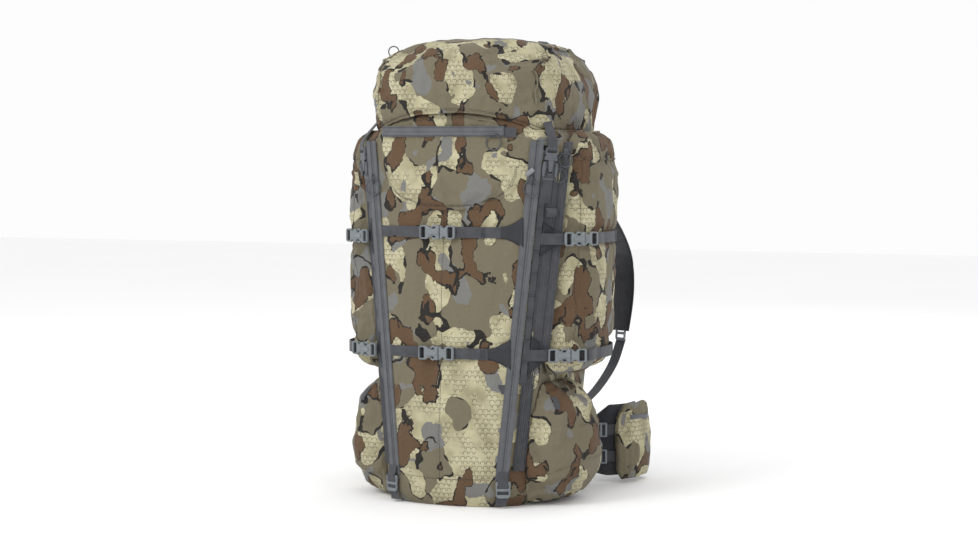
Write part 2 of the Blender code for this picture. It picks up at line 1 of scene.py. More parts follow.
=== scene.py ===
"""Looks of the hunting backpack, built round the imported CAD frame.

Metres, +Z up, the front of the pack towards -Y, the wearer's side towards +Y.
"""

import math

import bpy
import numpy as np
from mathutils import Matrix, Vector, noise
from mathutils.bvhtree import BVHTree


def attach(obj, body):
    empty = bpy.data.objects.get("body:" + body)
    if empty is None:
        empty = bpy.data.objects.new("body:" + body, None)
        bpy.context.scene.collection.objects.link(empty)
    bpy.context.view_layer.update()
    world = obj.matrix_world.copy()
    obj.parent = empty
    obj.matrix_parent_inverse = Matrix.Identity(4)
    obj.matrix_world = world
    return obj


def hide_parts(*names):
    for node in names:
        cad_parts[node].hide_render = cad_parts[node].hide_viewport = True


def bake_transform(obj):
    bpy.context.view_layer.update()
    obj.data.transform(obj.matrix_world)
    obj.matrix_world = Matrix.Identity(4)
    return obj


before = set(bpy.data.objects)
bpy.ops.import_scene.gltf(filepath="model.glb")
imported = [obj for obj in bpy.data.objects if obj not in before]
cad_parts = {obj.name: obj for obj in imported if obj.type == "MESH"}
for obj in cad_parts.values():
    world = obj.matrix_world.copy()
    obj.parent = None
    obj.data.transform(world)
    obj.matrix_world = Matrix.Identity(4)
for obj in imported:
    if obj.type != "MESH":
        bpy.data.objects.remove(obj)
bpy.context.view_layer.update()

# ---------------------------------------------------------------- sizes shared with the CAD
SIDES = (("left", -1), ("right", 1))
SEAM_GAP = 0.001
CORNER = 0.036
ZIP_SPREAD = 0.096            # how far a front zip moves out, and back, for each metre of height
ZIP_LEAN = 0.040
BODY_TOP = 0.662
FRONT_ARCH = 0.042
BACK_Y = 0.107
REAR_Y = 0.115
POCKET_OUT_X = 0.248
WEBBING = 0.020
WEB_THICKNESS = 0.0015
HUG = 0.0015
LID_HALF = (0.190, 0.163)
LID_CENTRE_Y = -0.030
LID_POWER = (3.5, 6.0)
LID_HEM = 0.668
HEM_ARCH = 0.045              # the cloth hem hangs a little below the CAD hem in the middle
HEM_DROP = 0.014              # and its front corners are pulled down to their buckles
BUCKLE_REACH = 0.035
STRAP_X = 0.152
STRAP_TURN = math.radians(28)
STERNUM_Z = 0.392
RING_RADIUS = 0.014
RING_WIRE = 0.0014
RING_N = 0.006
# Name, height, half length and buckle's X of the two straps over the front panel.
FRONT_STRAPS = (("front_upper", 0.497, 0.126, -0.017), ("front_lower", 0.278, 0.108, -0.016))
# Each side strap's height, and how far round the pocket its buckle sits: None is beside the band.
SIDE_STRAPS = (("upper", 0.486, {"left": None, "right": 0.17}),
               ("lower", 0.276, {"left": None, "right": 0.12}))
SIDE_STRAP_HEIGHTS = [height for _, height, _ in SIDE_STRAPS]
# Name, half width, foot, top and depth of the two pads against the wearer's back.
PADS = (("back_pad", 0.105, 0.200, 0.490, 0.018), ("lumbar_pad", 0.094, 0.020, 0.185, 0.030))
PAD_SEAM = 0.36               # where a pad's two upright seams run, as a share of its half width
POCKET_LOW, POCKET_WIDEST, POCKET_HALF = 0.535, 0.618, 0.140
POCKET_ZIP_Z = 0.673
HIP_STRAPS_Z, HIP_TAIL_Z = (0.052, 0.104), 0.083
POUCH_ZIP_Z = 0.128
UP = Vector((0, 0, 1))
ACROSS_STEPS = np.linspace(-1, 1, 9)


def lerp(start, end, share):
    """The value a share of the way from start to end, with the share kept in 0..1."""
    return start + (end - start) * min(1.0, max(0.0, share))


def zip_half(z):
    """Half the distance between the front zips at height z."""
    return 0.100 + ZIP_SPREAD * z


def front_y(z):
    """The plane that both front zips lie in."""
    return -0.200 + ZIP_LEAN * z


def wall_x(z):
    """Outer face of the bag's side wall."""
    return zip_half(z) + CORNER


def crown(z):
    """The bulge of the front panel's middle at height z."""
    return lerp(0.018, 0.005, (z - 0.50) / 0.165)


def front_face(x, z):
    """Y of the front panel's outer face."""
    return front_y(z) - crown(z) * (1 - (x / zip_half(z)) ** 2)


def curve_through(points, per_span=4):
    """A smooth line through the given points (Catmull-Rom)."""
    knots = [Vector(p) for p in points]
    knots = [2 * knots[0] - knots[1]] + knots + [2 * knots[-1] - knots[-2]]
    line = []
    for a, b, c, d in zip(knots, knots[1:], knots[2:], knots[3:]):
        for step in range(per_span):
            t = step / per_span
            line.append(0.5 * (2 * b + (c - a) * t + (2 * a - 5 * b + 4 * c - d) * t * t
                               + (3 * b - 3 * c + d - a) * t ** 3))
    return line + [knots[-2]]


def place_in(centre, along, across, outward):
    """A function from (along, across, outward) distances to a place."""
    centre, along, across, outward = map(Vector, (centre, along, across, outward))
    return lambda a, v, n: centre + along * a + across * v + outward * n


def raised(place, lift):
    """The same place function, moved outward."""
    return lambda a, v, n: place(a, v, n + lift)


def along_place(place, *spots):
    """Places on the piece's middle line, from (along, outward) distances."""
    return [place(a, 0, n) for a, n in spots]


def mirrored(points, side):
    """The points of a right-hand piece, put on the given side."""
    return [Vector((p[0] * side, p[1], p[2])) for p in points]


def moved_out(plan, distance):
    """A plan line that runs from the front to the back of the right side, moved out."""
    line = []
    for i, (x, y) in enumerate(plan):
        ahead, behind = plan[min(i + 1, len(plan) - 1)], plan[max(i - 1, 0)]
        dx, dy = ahead[0] - behind[0], ahead[1] - behind[1]
        size = math.hypot(dx, dy)
        line.append((x + dy / size * distance, y - dx / size * distance))
    return line


def pocket_line(z, depth=1.0, length=1.0, count=24):
    """Outer plan line of a right side pocket at height z, from front to back."""
    start, end = front_y(z) + CORNER + 0.003, 0.082 - 0.05 * max(0.0, 0.6 - z)
    middle, half = (start + end) / 2, (end - start) / 2 * length
    inner = wall_x(z) + SEAM_GAP
    reach = (POCKET_OUT_X - inner) * depth
    angles = [math.pi * i / count for i in range(count + 1)]
    return [(inner + reach * math.sin(a) ** 0.6, middle - half * math.cos(a)) for a in angles]


def lower_pocket_line(z, reach, length, count=24):
    """Outer plan line of a right lower pocket at height z, from front to back."""
    inner = wall_x(z) + SEAM_GAP
    angles = [math.pi * i / count for i in range(count + 1)]
    return [(inner + reach * math.sin(a) ** 0.6, -0.070 - 0.100 * length * math.cos(a))
            for a in angles]


def pocket_depth(z):
    """Thickness of the front pocket's middle."""
    return min(lerp(0.003, 0.012, (z - 0.535) / 0.03), lerp(0.012, 0.006, (z - 0.60) / 0.04))


def corner_point(z, s, lift):
    """A place on the right corner panel, s metres out from the front zip.

    Past the panel's end the line goes on along the front of the side pocket.
    """
    slant = CORNER * math.sqrt(2)
    on_panel, beyond = min(s, slant), max(0.0, s - slant)
    x = zip_half(z) + on_panel / math.sqrt(2) + beyond
    y = front_y(z) + on_panel / math.sqrt(2)
    turn = lerp(math.pi / 4, 0.0, (s - slant + 0.012) / 0.024)
    return Vector((x + math.sin(turn) * lift, y - math.cos(turn) * lift, z))


def side_strap_line(z, turn):
    """Plan line of a right side strap, its buckle's middle, and the buckle's direction."""
    hug = HUG + WEB_THICKNESS / 2
    start = Vector((zip_half(z) + 0.003, front_y(z)))
    end = Vector((wall_x(z), front_y(z) + CORNER))
    root = start.lerp(end, 0.35) + Vector((1, -1)).normalized() * hug
    line = [Vector(p) for p in moved_out(pocket_line(z, 1.0, 1.0, 60), hug)]
    reach = BUCKLE_REACH + 0.003
    if turn is None:
        touch = min(range(1, 30), key=lambda i: math.atan2(*reversed(line[i] - root)))
        along = (line[touch] - root).normalized()
        middle, path, skip = root + along * (reach + 0.004), [root, line[touch]], 0.010
    else:
        touch = round(turn * 60)
        along, middle = (line[touch + 1] - line[touch - 1]).normalized(), line[touch]
        path, skip = [root, middle - along * reach, middle, middle + along * reach], 0.066
    travelled = 0.0
    for here, there in zip(line[touch:-4], line[touch + 1:-3]):
        travelled += (there - here).length
        if travelled > skip and (there - path[-1]).length > 0.012:
            path.append(there)
    return path, middle, along


def lid_ring(z, share, arch=0.0, count=72, drop=0.0):
    """A rounded-box ring of the lid. The hem's ring rises in the middle of the front."""
    ring = []
    for step in range(count):
        angle = 2 * math.pi * (step + 0.5) / count
        c, s = math.cos(angle), math.sin(angle)
        power = 2 / LID_POWER[s > 0]
        x = LID_HALF[0] * share * math.copysign(abs(c) ** power, c)
        y = LID_HALF[1] * share * math.copysign(abs(s) ** power, s)
        lift = arch * (1 - (x / LID_HALF[0]) ** 2) if y < 0 else 0.0
        corner = lerp(0.0, 1.0, (-y / LID_HALF[1] - 0.35) / 0.55) * abs(x / LID_HALF[0]) ** 5
        ring.append(Vector((x, LID_CENTRE_Y + y, z + lift - drop * corner)))
    return ring


# ---------------------------------------------------------------- materials
def srgb(red, green, blue):
    """A display colour, 0..255, as the linear colour that a shader takes."""
    def linear(value):
        share = value / 255
        return share / 12.92 if share <= 0.04045 else ((share + 0.055) / 1.055) ** 2.4
    return (linear(red), linear(green), linear(blue), 1.0)


class Finish:
    """Builds one material's nodes. A value is a number, a tuple or another node's socket."""

    def __init__(self, name, roughness, sheen=0.0, specular=0.5, metallic=0.0):
        self.material = bpy.data.materials.new(name)
        self.material.use_nodes = True
        self.tree = self.material.node_tree
        self.shader = self.tree.nodes["Principled BSDF"]
        self.shader.inputs["Roughness"].default_value = roughness
        self.shader.inputs["Sheen Weight"].default_value = sheen
        self.shader.inputs["Specular IOR Level"].default_value = specular
        self.shader.inputs["Metallic"].default_value = metallic
        places = self.tree.nodes.new("ShaderNodeTexCoord")
        self.place, self.uv = places.outputs["Object"], places.outputs["UV"]

    def feed(self, socket, value):
        if isinstance(value, bpy.types.NodeSocket):
            self.tree.links.new(value, socket)
        else:
            socket.default_value = value

    def math(self, operation, *values):
        made = self.tree.nodes.new("ShaderNodeMath")
        made.operation = operation
        for socket, value in zip(made.inputs, values):
            self.feed(socket, value)
        return made.outputs[0]

    def vector(self, operation, *values):
        made = self.tree.nodes.new("ShaderNodeVectorMath")
        made.operation = operation
        for socket, value in zip(made.inputs, values):
            self.feed(socket, value)
        return made.outputs[0]

    def noise(self, place, scale, detail=0.0, stretch=(1, 1, 1), shift=0.0, output="Fac"):
        moved = self.vector("MULTIPLY_ADD", place, stretch, (shift, shift * 0.7, shift * 0.3))
        made = self.tree.nodes.new("ShaderNodeTexNoise")
        self.feed(made.inputs["Vector"], moved)
        made.inputs["Scale"].default_value = scale
        made.inputs["Detail"].default_value = detail
        return made.outputs[output]

    def warped(self, place, scale, amount):
        """Places moved about by a noise, so that what is drawn there gets uneven edges."""
        push = self.noise(place, scale, 2.0, output="Color")
        return self.vector("MULTIPLY_ADD", push, (amount,) * 3, place)

    def mix(self, factor, first, second):
        made = self.tree.nodes.new("ShaderNodeMix")
        made.data_type = "RGBA"
        self.feed(made.inputs[0], factor)
        self.feed(made.inputs[6], first)
        self.feed(made.inputs[7], second)
        return made.outputs[2]

    def split(self, vector):
        made = self.tree.nodes.new("ShaderNodeSeparateXYZ")
        self.feed(made.inputs[0], vector)
        return made.outputs[0], made.outputs[1]

    def wave(self, value, period):
        return self.math("SINE", self.math("MULTIPLY", value, 2 * math.pi / period))

    def bump(self, *layers):
        """Bump from (height, distance in metres) layers."""
        total = 0.0
        for height, distance in layers:
            total = self.math("MULTIPLY_ADD", height, distance, total)
        made = self.tree.nodes.new("ShaderNodeBump")
        made.inputs["Distance"].default_value = 1.0
        made.inputs["Strength"].default_value = 1.0
        self.feed(made.inputs["Height"], total)
        self.tree.links.new(made.outputs[0], self.shader.inputs["Normal"])

    def colour(self, value):
        self.feed(self.shader.inputs["Base Color"], value)
        return self.material


# The print's display colours, and the noise values from which each shape is drawn.
STRAW_DARK, STRAW_PALE, SCALE_FILL = srgb(146, 139, 110), srgb(182, 176, 145), srgb(192, 187, 163)
SCALE_LINE, BLACK, RUBBED = srgb(66, 56, 44), srgb(14, 13, 16), srgb(196, 190, 172)
OLIVE, GREY, BROWN = srgb(106, 99, 81), srgb(110, 110, 108), srgb(86, 63, 43)
OLIVE_FROM, GREY_FROM, BROWN_FROM = 0.490, 0.615, 0.590
SCALE_WIDTH, SCALE_HEIGHT, SCALE_REACH, SCALE_LINE_HALF = 0.0104, 0.0086, 0.37, 0.046
SCALES_FROM = 0.470
WEAVE = 0.0011


def make_camo():
    """Printed cloth: straw with rows of small scales, under olive, grey and brown shapes."""
    t = Finish("camo_cloth", 0.9, sheen=0.06, specular=0.2)
    smooth = t.warped(t.place, 34, 0.022)
    jagged = t.warped(t.warped(t.place, 40, 0.018), 190, 0.006)
    olive = t.noise(smooth, 15.0, 0.7, (1, 1, 0.80), 3.1)
    brown = t.noise(jagged, 21.0, 0.6, (1.15, 1.15, 0.75), 7.7)
    grey = t.noise(jagged, 21.0, 0.4, (1, 1, 0.9), 12.3)
    chooser = t.noise(t.place, 38.0, 0.0, (1, 1, 1), 21.9)

    u, v = t.split(t.uv)
    row = t.math("FLOOR", t.math("DIVIDE", v, SCALE_HEIGHT))
    column = t.math("MULTIPLY_ADD", row, 0.5, t.math("DIVIDE", u, SCALE_WIDTH))
    a = t.math("SUBTRACT", t.math("FRACT", column), 0.5)
    b = t.math("SUBTRACT", t.math("FRACT", t.math("DIVIDE", v, SCALE_HEIGHT)), 0.42)
    wide = t.math("POWER", t.math("ABSOLUTE", a), 3.0)
    tall = t.math("POWER", t.math("ABSOLUTE", b), 3.0)
    reach = t.math("POWER", t.math("ADD", wide, tall), 1 / 3)
    on_arc = t.math("COMPARE", reach, SCALE_REACH, SCALE_LINE_HALF)
    upper = t.math("GREATER_THAN", b, -0.16)
    patchy = t.math("GREATER_THAN", t.noise(t.place, 40, 1.0, (1, 1, 1), 31.0), SCALES_FROM)
    arc = t.math("MULTIPLY", t.math("MULTIPLY", on_arc, upper), patchy)
    inside = t.math("MULTIPLY", t.math("LESS_THAN", reach, SCALE_REACH), patchy)

    shade = t.noise(t.place, 30, 2.0, (1, 1, 1), 17.0)
    straw = t.mix(t.math("MULTIPLY_ADD", shade, 3.2, -1.1), STRAW_DARK, STRAW_PALE)
    straw = t.mix(t.math("MULTIPLY", inside, 0.28), straw, SCALE_FILL)
    straw = t.mix(t.math("MULTIPLY", arc, 0.92), straw, SCALE_LINE)
    cloth = t.mix(t.math("GREATER_THAN", olive, OLIVE_FROM), straw, OLIVE)
    cloth = t.mix(t.math("GREATER_THAN", grey, GREY_FROM), cloth, GREY)
    cloth = t.mix(t.math("GREATER_THAN", brown, BROWN_FROM), cloth, BROWN)
    # Black strokes run along parts of the shapes' edges; the chooser says where, and how thick.
    thick = t.math("MULTIPLY_ADD", t.math("SUBTRACT", chooser, 0.50), 0.16, 0.002)
    stroke_a = t.math("LESS_THAN", t.math("ABSOLUTE", t.math("SUBTRACT", olive, 0.492)),
                      t.math("MINIMUM", t.math("MULTIPLY", thick, 1.05), 0.020))
    stroke_b = t.math("LESS_THAN", t.math("ABSOLUTE", t.math("SUBTRACT", brown, 0.588)),
                      t.math("MINIMUM", t.math("MULTIPLY_ADD", chooser, 0.10, -0.038), 0.018))
    thin = t.math("MULTIPLY", t.math("COMPARE", brown, BROWN_FROM, 0.006),
                  t.math("LESS_THAN", chooser, 0.50))
    black = t.math("MAXIMUM", t.math("MAXIMUM", stroke_a, stroke_b), thin)
    cloth = t.mix(black, cloth, BLACK)
    weave = t.math("MULTIPLY", t.wave(u, WEAVE), t.wave(v, WEAVE))
    crumple = t.noise(t.place, 110, 3.0)
    t.bump((weave, 0.00006), (crumple, 0.0022))
    worn = t.mix(t.math("MULTIPLY", t.noise(t.place, 320, 2.0), 0.07), cloth, RUBBED)
    return t.colour(worn)


def make_woven(name, low, high, rib=0.0014, depth=0.00022, roughness=0.8, diagonal=0.0028):
    """Woven strap or tape: ribs along its length crossed by slanting threads."""
    t = Finish(name, roughness, sheen=0.15, specular=0.3)
    u, v = t.split(t.uv)
    ribs = t.wave(u, rib)
    slant = t.wave(t.math("ADD", u, v), diagonal)
    threads = t.math("MULTIPLY_ADD", ribs, 0.6, t.math("MULTIPLY", slant, 0.4))
    t.bump((threads, depth), (t.noise(t.place, 400, 2.0), 0.0002))
    # The colour follows the ribs and slanting threads, lighter on their crests and darker in their
    # grooves: painted shade, with a random tone from the noise on top.
    shade = t.math("MULTIPLY_ADD", threads, 0.22, t.noise(t.place, 60, 3.0))
    return t.colour(t.mix(shade, srgb(*low), srgb(*high)))


def make_mesh_cloth(name, low, high, pitch=0.0030):
    """Spacer mesh: small round holes in rows that are offset by half a pitch."""
    t = Finish(name, 0.95, sheen=0.25, specular=0.2)
    u, v = t.split(t.uv)
    row = t.math("FLOOR", t.math("DIVIDE", v, pitch))
    a = t.math("FRACT", t.math("MULTIPLY_ADD", row, 0.5, t.math("DIVIDE", u, pitch)))
    a = t.math("SUBTRACT", a, 0.5)
    b = t.math("SUBTRACT", t.math("FRACT", t.math("DIVIDE", v, pitch)), 0.5)
    reach = t.math("SQRT", t.math("ADD", t.math("MULTIPLY", a, a), t.math("MULTIPLY", b, b)))
    hole = t.math("LESS_THAN", reach, 0.27)
    t.bump((t.math("SUBTRACT", 1.0, hole), 0.0006), (t.noise(t.place, 90, 3.0), 0.0010))
    cloth = t.mix(t.noise(t.place, 40, 3.0), srgb(*low), srgb(*high))
    # The holes are painted near-black: painted shade inside the holes.
    return t.colour(t.mix(t.math("MULTIPLY", hole, 0.7), cloth, srgb(14, 14, 16)))


def make_ribbed_cloth(name, low, high, pitch=0.0065):
    """Padded cloth with fine quilted ribs along the piece."""
    t = Finish(name, 0.92, sheen=0.3, specular=0.25)
    u, v = t.split(t.uv)
    ribs = t.wave(u, pitch)
    fine = t.math("MULTIPLY", t.wave(u, 0.0012), t.wave(v, 0.0012))
    t.bump((ribs, 0.0001), (fine, 0.00010), (t.noise(t.place, 110, 3.0), 0.0009))
    # The colour follows the ribs a little, lighter on their crests and darker between them: painted
    # shade, with a random tone from the noise.
    shade = t.math("MULTIPLY_ADD", ribs, 0.05, t.noise(t.place, 45, 3.0))
    return t.colour(t.mix(shade, srgb(*low), srgb(*high)))


def make_coated(name, low, high):
    """Rubber-coated reinforcing patch."""
    t = Finish(name, 0.62, specular=0.4)
    grain = t.noise(t.place, 700, 2.0)
    u, v = t.split(t.uv)
    scrim = t.math("MULTIPLY", t.wave(u, 0.0016), t.wave(v, 0.0016))
    t.bump((grain, 0.00025), (scrim, 0.00008))
    return t.colour(t.mix(t.noise(t.place, 70, 4.0), srgb(*low), srgb(*high)))


def make_plastic(name, low, high, roughness):
    """Moulded acetal with a fine spark-eroded grain and paler rubbed edges."""
    t = Finish(name, roughness, specular=0.45)
    t.bump((t.noise(t.place, 1400, 2.0), 0.00012), (t.noise(t.place, 120, 2.0), 0.0003))
    edges = t.tree.nodes.new("ShaderNodeNewGeometry").outputs["Pointiness"]
    rubbed = t.math("MULTIPLY", t.math("SUBTRACT", edges, 0.52), 4.0)
    body = t.mix(t.noise(t.place, 90, 3.0), srgb(*low), srgb(*high))
    pale = tuple(min(255, value + 26) for value in high)
    rubbed = t.math("MINIMUM", t.math("MAXIMUM", rubbed, 0.0), 0.6)
    return t.colour(t.mix(rubbed, body, srgb(*pale)))


def make_metal(name, low, high):
    """Painted die-cast metal, slightly scuffed."""
    t = Finish(name, 0.42, specular=0.5, metallic=0.55)
    t.bump((t.noise(t.place, 900, 3.0), 0.00015))
    return t.colour(t.mix(t.noise(t.place, 260, 4.0), srgb(*low), srgb(*high)))


FINISHES = {
    "camo": (make_camo(), "camo_cloth"),
    "webbing": (make_woven("grey_webbing", (52, 53, 57), (82, 83, 88)), "webbing"),
    "dark_webbing": (make_woven("black_webbing", (24, 24, 27), (46, 46, 50)), "webbing"),
    "zip_tape": (make_woven("zip_tape", (76, 78, 81), (104, 106, 110), 0.0009, 0.00012,
                            0.7, 0.0016), "webbing"),
    "tape": (make_woven("binding_tape", (60, 61, 65), (84, 85, 89), 0.0008, 0.00012), "webbing"),
    "thread": (make_woven("sewing_thread", (34, 34, 37), (62, 62, 66), 0.0005, 0.00005), "webbing"),
    "lining": (make_woven("lining_cloth", (44, 46, 48), (66, 68, 70), 0.0011, 0.00008),
               "dark_cloth"),
    "patch": (make_coated("coated_patch", (32, 33, 38), (46, 47, 53)), "dark_cloth"),
    "ribbed": (make_ribbed_cloth("ribbed_cloth", (36, 37, 41), (56, 57, 62)), "dark_cloth"),
    "mesh": (make_mesh_cloth("spacer_mesh", (34, 35, 38), (58, 59, 63)), "dark_cloth"),
    "plastic": (make_plastic("grey_plastic", (98, 103, 107), (120, 126, 130), 0.42),
                "buckle_plastic"),
    "dark_plastic": (make_plastic("dark_plastic", (66, 70, 76), (90, 94, 100), 0.45),
                     "buckle_plastic"),
    "black_plastic": (make_plastic("black_plastic", (22, 22, 25), (38, 38, 42), 0.4),
                      "buckle_plastic"),
    "light_tape": (make_woven("pale_tape", (112, 114, 116), (138, 140, 142), 0.0009, 0.00012,
                              0.7, 0.0016), "webbing"),
    "sheet": (make_plastic("frame_sheet", (180, 180, 176), (198, 198, 194), 0.5),
              "frame_plastic"),
    "metal": (make_metal("zip_metal", (64, 66, 70), (96, 98, 102)), "zip_metal"),
}


# ---------------------------------------------------------------- mesh building
class Build:
    """Gathers points, faces and print coordinates (metres) for one piece."""

    def __init__(self):
        self.points, self.prints, self.faces = [], [], []

    def rows(self, rows, prints=None, ring=False, endless=False, caps=False):
        """Faces between rows of points. A ring row closes on itself, an endless set of
        rows joins its last to its first, and caps close the two ends."""
        start, width = len(self.points), len(rows[0])
        for i, row in enumerate(rows):
            for j, point in enumerate(row):
                self.points.append(Vector(point))
                self.prints.append(prints[i][j] if prints else None)
        for i in range(len(rows) if endless else len(rows) - 1):
            following = (i + 1) % len(rows)
            for j in range(width if ring else width - 1):
                k = (j + 1) % width
                self.faces.append((start + i * width + j, start + i * width + k,
                                   start + following * width + k, start + following * width + j))
        if caps:
            self.faces.append(tuple(range(start, start + width)))
            last = start + (len(rows) - 1) * width
            self.faces.append(tuple(range(last + width - 1, last - 1, -1)))

    def strip(self, path, across, width, thickness=WEB_THICKNESS):
        """A flat band with rounded edges along a path."""
        path = [Vector(p) for p in path]
        acrosses = across if isinstance(across, list) else [across] * len(path)
        widths = width if isinstance(width, list) else [width] * len(path)
        shape = [(-1.0, -0.3), (-0.97, -0.5), (-0.5, -0.5), (0.0, -0.5), (0.5, -0.5), (0.97, -0.5),
                 (1.0, -0.3), (1.0, 0.3), (0.97, 0.5), (0.5, 0.5), (0.0, 0.5), (-0.5, 0.5),
                 (-0.97, 0.5), (-1.0, 0.3)]
        rows, prints, travelled = [], [], 0.0
        for i, point in enumerate(path):
            behind, ahead = path[max(i - 1, 0)], path[min(i + 1, len(path) - 1)]
            travelled += (point - behind).length
            side = Vector(acrosses[i]).normalized()
            normal = (ahead - behind).cross(side).normalized()
            half = widths[i] / 2
            rows.append([point + side * (s * half) + normal * (n * thickness) for s, n in shape])
            prints.append([(s * half, travelled) for s, _ in shape])
        self.rows(rows, prints, ring=True, caps=True)

    def tube(self, path, radius, sides=8, endless=False):
        """A round bead along a path."""
        path = [Vector(p) for p in path]
        radii = radius if isinstance(radius, list) else [radius] * len(path)
        count = len(path)
        rows, prints, travelled, side = [], [], 0.0, None
        for i, point in enumerate(path):
            behind = path[i - 1] if endless or i else path[0]
            ahead = path[(i + 1) % count] if endless or i < count - 1 else path[-1]
            tangent = (ahead - behind).normalized()
            if side is None:
                side = tangent.orthogonal().normalized()
            side = (side - tangent * side.dot(tangent)).normalized()
            up = tangent.cross(side)
            travelled += (point - path[max(i - 1, 0)]).length
            angles = [2 * math.pi * j / sides for j in range(sides)]
            rows.append([point + (side * math.cos(a) + up * math.sin(a)) * radii[i]
                         for a in angles])
            prints.append([(a * radii[i], travelled) for a in angles])
        self.rows(rows, prints, ring=True, endless=endless, caps=not endless)

    def stitches(self, path, outward, pitch=0.0042, length=0.0030, radius=0.00038):
        """A row of sewing stitches along a path, lying just proud of the surface."""
        path = [Vector(p) for p in path]
        outwards = outward if isinstance(outward, list) else [outward] * len(path)
        carried = pitch / 2
        for i, (here, there) in enumerate(zip(path, path[1:])):
            span = (there - here).length
            if span < 1e-6:
                continue
            direction, out = (there - here) / span, Vector(outwards[i]).normalized()
            while carried < span:
                middle = here + direction * carried
                ends = [middle - direction * length / 2 - out * radius,
                        middle - direction * length / 4 + out * radius * 0.8,
                        middle + direction * length / 4 + out * radius * 0.8,
                        middle + direction * length / 2 - out * radius]
                self.tube(ends, [radius * 0.6, radius, radius, radius * 0.6], sides=5)
                carried += pitch
            carried -= span

    def plate(self, outlines, thickness, bevel, place, waist=0.0):
        """A moulded plate with rounded edges; outlines after the first are holes in it.

        Waist thins the plate towards its two ends.
        """
        curve = bpy.data.curves.new("plate", "CURVE")
        curve.dimensions, curve.fill_mode = "2D", "BOTH"
        curve.extrude, curve.bevel_depth, curve.bevel_resolution = thickness / 2 - bevel, bevel, 1
        curve.offset = -bevel
        for outline in outlines:
            spline = curve.splines.new("POLY")
            spline.points.add(len(outline) - 1)
            for point, (x, y) in zip(spline.points, outline):
                point.co = (x, y, 0, 1)
            spline.use_cyclic_u = True
        holder = bpy.data.objects.new("plate", curve)
        bpy.context.scene.collection.objects.link(holder)
        graph = bpy.context.evaluated_depsgraph_get()
        data = bpy.data.meshes.new_from_object(holder.evaluated_get(graph), depsgraph=graph)
        start = len(self.points)
        far = max(abs(x) for x, _ in outlines[0])
        for vertex in data.vertices:
            x, y, z = vertex.co
            self.points.append(place(x, y, thickness / 2 + z * (1 - waist * (x / far) ** 2)))
            self.prints.append((x, y))
        self.faces += [tuple(start + v for v in face.vertices) for face in data.polygons]
        bpy.data.objects.remove(holder)
        bpy.data.curves.remove(curve)
        bpy.data.meshes.remove(data)

    def mesh(self):
        """The mesh, with a UV map from the print coordinates or, without them, box-wise."""
        data = bpy.data.meshes.new("shape")
        data.from_pydata(self.points, [], self.faces)
        data.validate()
        print_on(data, self.prints if all(p is not None for p in self.prints) else None)
        return data


def print_on(data, prints=None):
    """Gives a mesh its UV map in metres: its own coordinates, or by each face's direction."""
    layer = data.uv_layers.new(name="print")
    for face in data.polygons:
        n = [abs(c) for c in face.normal]
        axes = (1, 2) if n[0] >= max(n[1], n[2]) else (0, 2) if n[1] >= n[2] else (0, 1)
        for loop in face.loop_indices:
            index = data.loops[loop].vertex_index
            point = data.vertices[index].co
            layer.data[loop].uv = prints[index] if prints else (point[axes[0]], point[axes[1]])


def piece(name, shape, finish, body="root", stands_for=(), sharp=40, levels=0):
    """Puts a mesh or a Build in the scene as a named piece that rides on a body.
    """
    data = shape.mesh() if isinstance(shape, Build) else shape
    data.name = name
    data.shade_smooth()
    data.set_sharp_from_angle(angle=math.radians(sharp))
    material, record_slot = FINISHES[finish]
    data.materials.append(material)
    made = bpy.data.objects.new(name, data)
    bpy.context.scene.collection.objects.link(made)
    if levels:
        smooth = made.modifiers.new("smooth", "SUBSURF")
        smooth.levels = smooth.render_levels = levels
    if body:
        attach(made, body)
    if stands_for:
        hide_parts(*stands_for)
    return made


def walled(made, thickness, offset=-1.0):
    """Gives a piece that is one surface a wall of real thickness."""
    wall = made.modifiers.new("wall", "SOLIDIFY")
    wall.thickness, wall.offset = thickness, offset
    return wall


def rounded(points, radius, steps=4):
    """A closed outline with its corners rounded."""
    outline = []
    for i, corner in enumerate(points):
        corner = Vector(corner)
        before, after = Vector(points[i - 1]), Vector(points[(i + 1) % len(points)])
        reach = min(radius, (before - corner).length / 2, (after - corner).length / 2)
        start = corner + (before - corner).normalized() * reach
        end = corner + (after - corner).normalized() * reach
        for step in range(steps + 1):
            t = step / steps
            outline.append(start * (1 - t) ** 2 + corner * 2 * t * (1 - t) + end * t * t)
    return outline


def both_ways(points):
    """A closed outline from its upper half, mirrored across the piece's middle line."""
    return list(points) + [(a, -v) for a, v in reversed(points)]


def box_outline(low_a, high_a, half):
    """A rectangle's outline, from low_a to high_a along the piece."""
    return [(low_a, half), (high_a, half), (high_a, -half), (low_a, -half)]


def slots_at(lows, length, half, radius):
    """Rounded slots of one size, each from its low end."""
    return [rounded(box_outline(low, low + length, half), radius) for low in lows]


def surface_of(data):
    """A lookup of the nearest place on a mesh."""
    return BVHTree.FromPolygons([v.co for v in data.vertices],
                                [tuple(p.vertices) for p in data.polygons])


def drawn_on(tree, points, lift=0.0):
    """Points moved onto the surface, with its normal at each."""
    places, normals = [], []
    for point in points:
        spot, normal, _, _ = tree.find_nearest(Vector(point))
        places.append(spot + normal * lift)
        normals.append(normal)
    return places, normals


def shape_vertices(data, change):
    """Moves every vertex by change(point, normal)."""
    moved = [v.co + change(v.co, v.normal) for v in data.vertices]
    for vertex, point in zip(data.vertices, moved):
        vertex.co = point
    data.update()


def creased(data, lines, depth=0.003, width=0.006):
    """Presses a groove into the mesh along each line."""
    spots = np.array([p for line in lines for p in line], float)
    co = np.array([v.co for v in data.vertices], float)
    normals = np.array([v.normal for v in data.vertices], float)
    near = np.full(len(co), 1e9)
    for spot in spots:
        np.minimum(near, ((co - spot) ** 2).sum(1), out=near)
    co -= normals * (depth * np.exp(-near / width ** 2))[:, None]
    data.vertices.foreach_set("co", co.ravel())
    data.update()


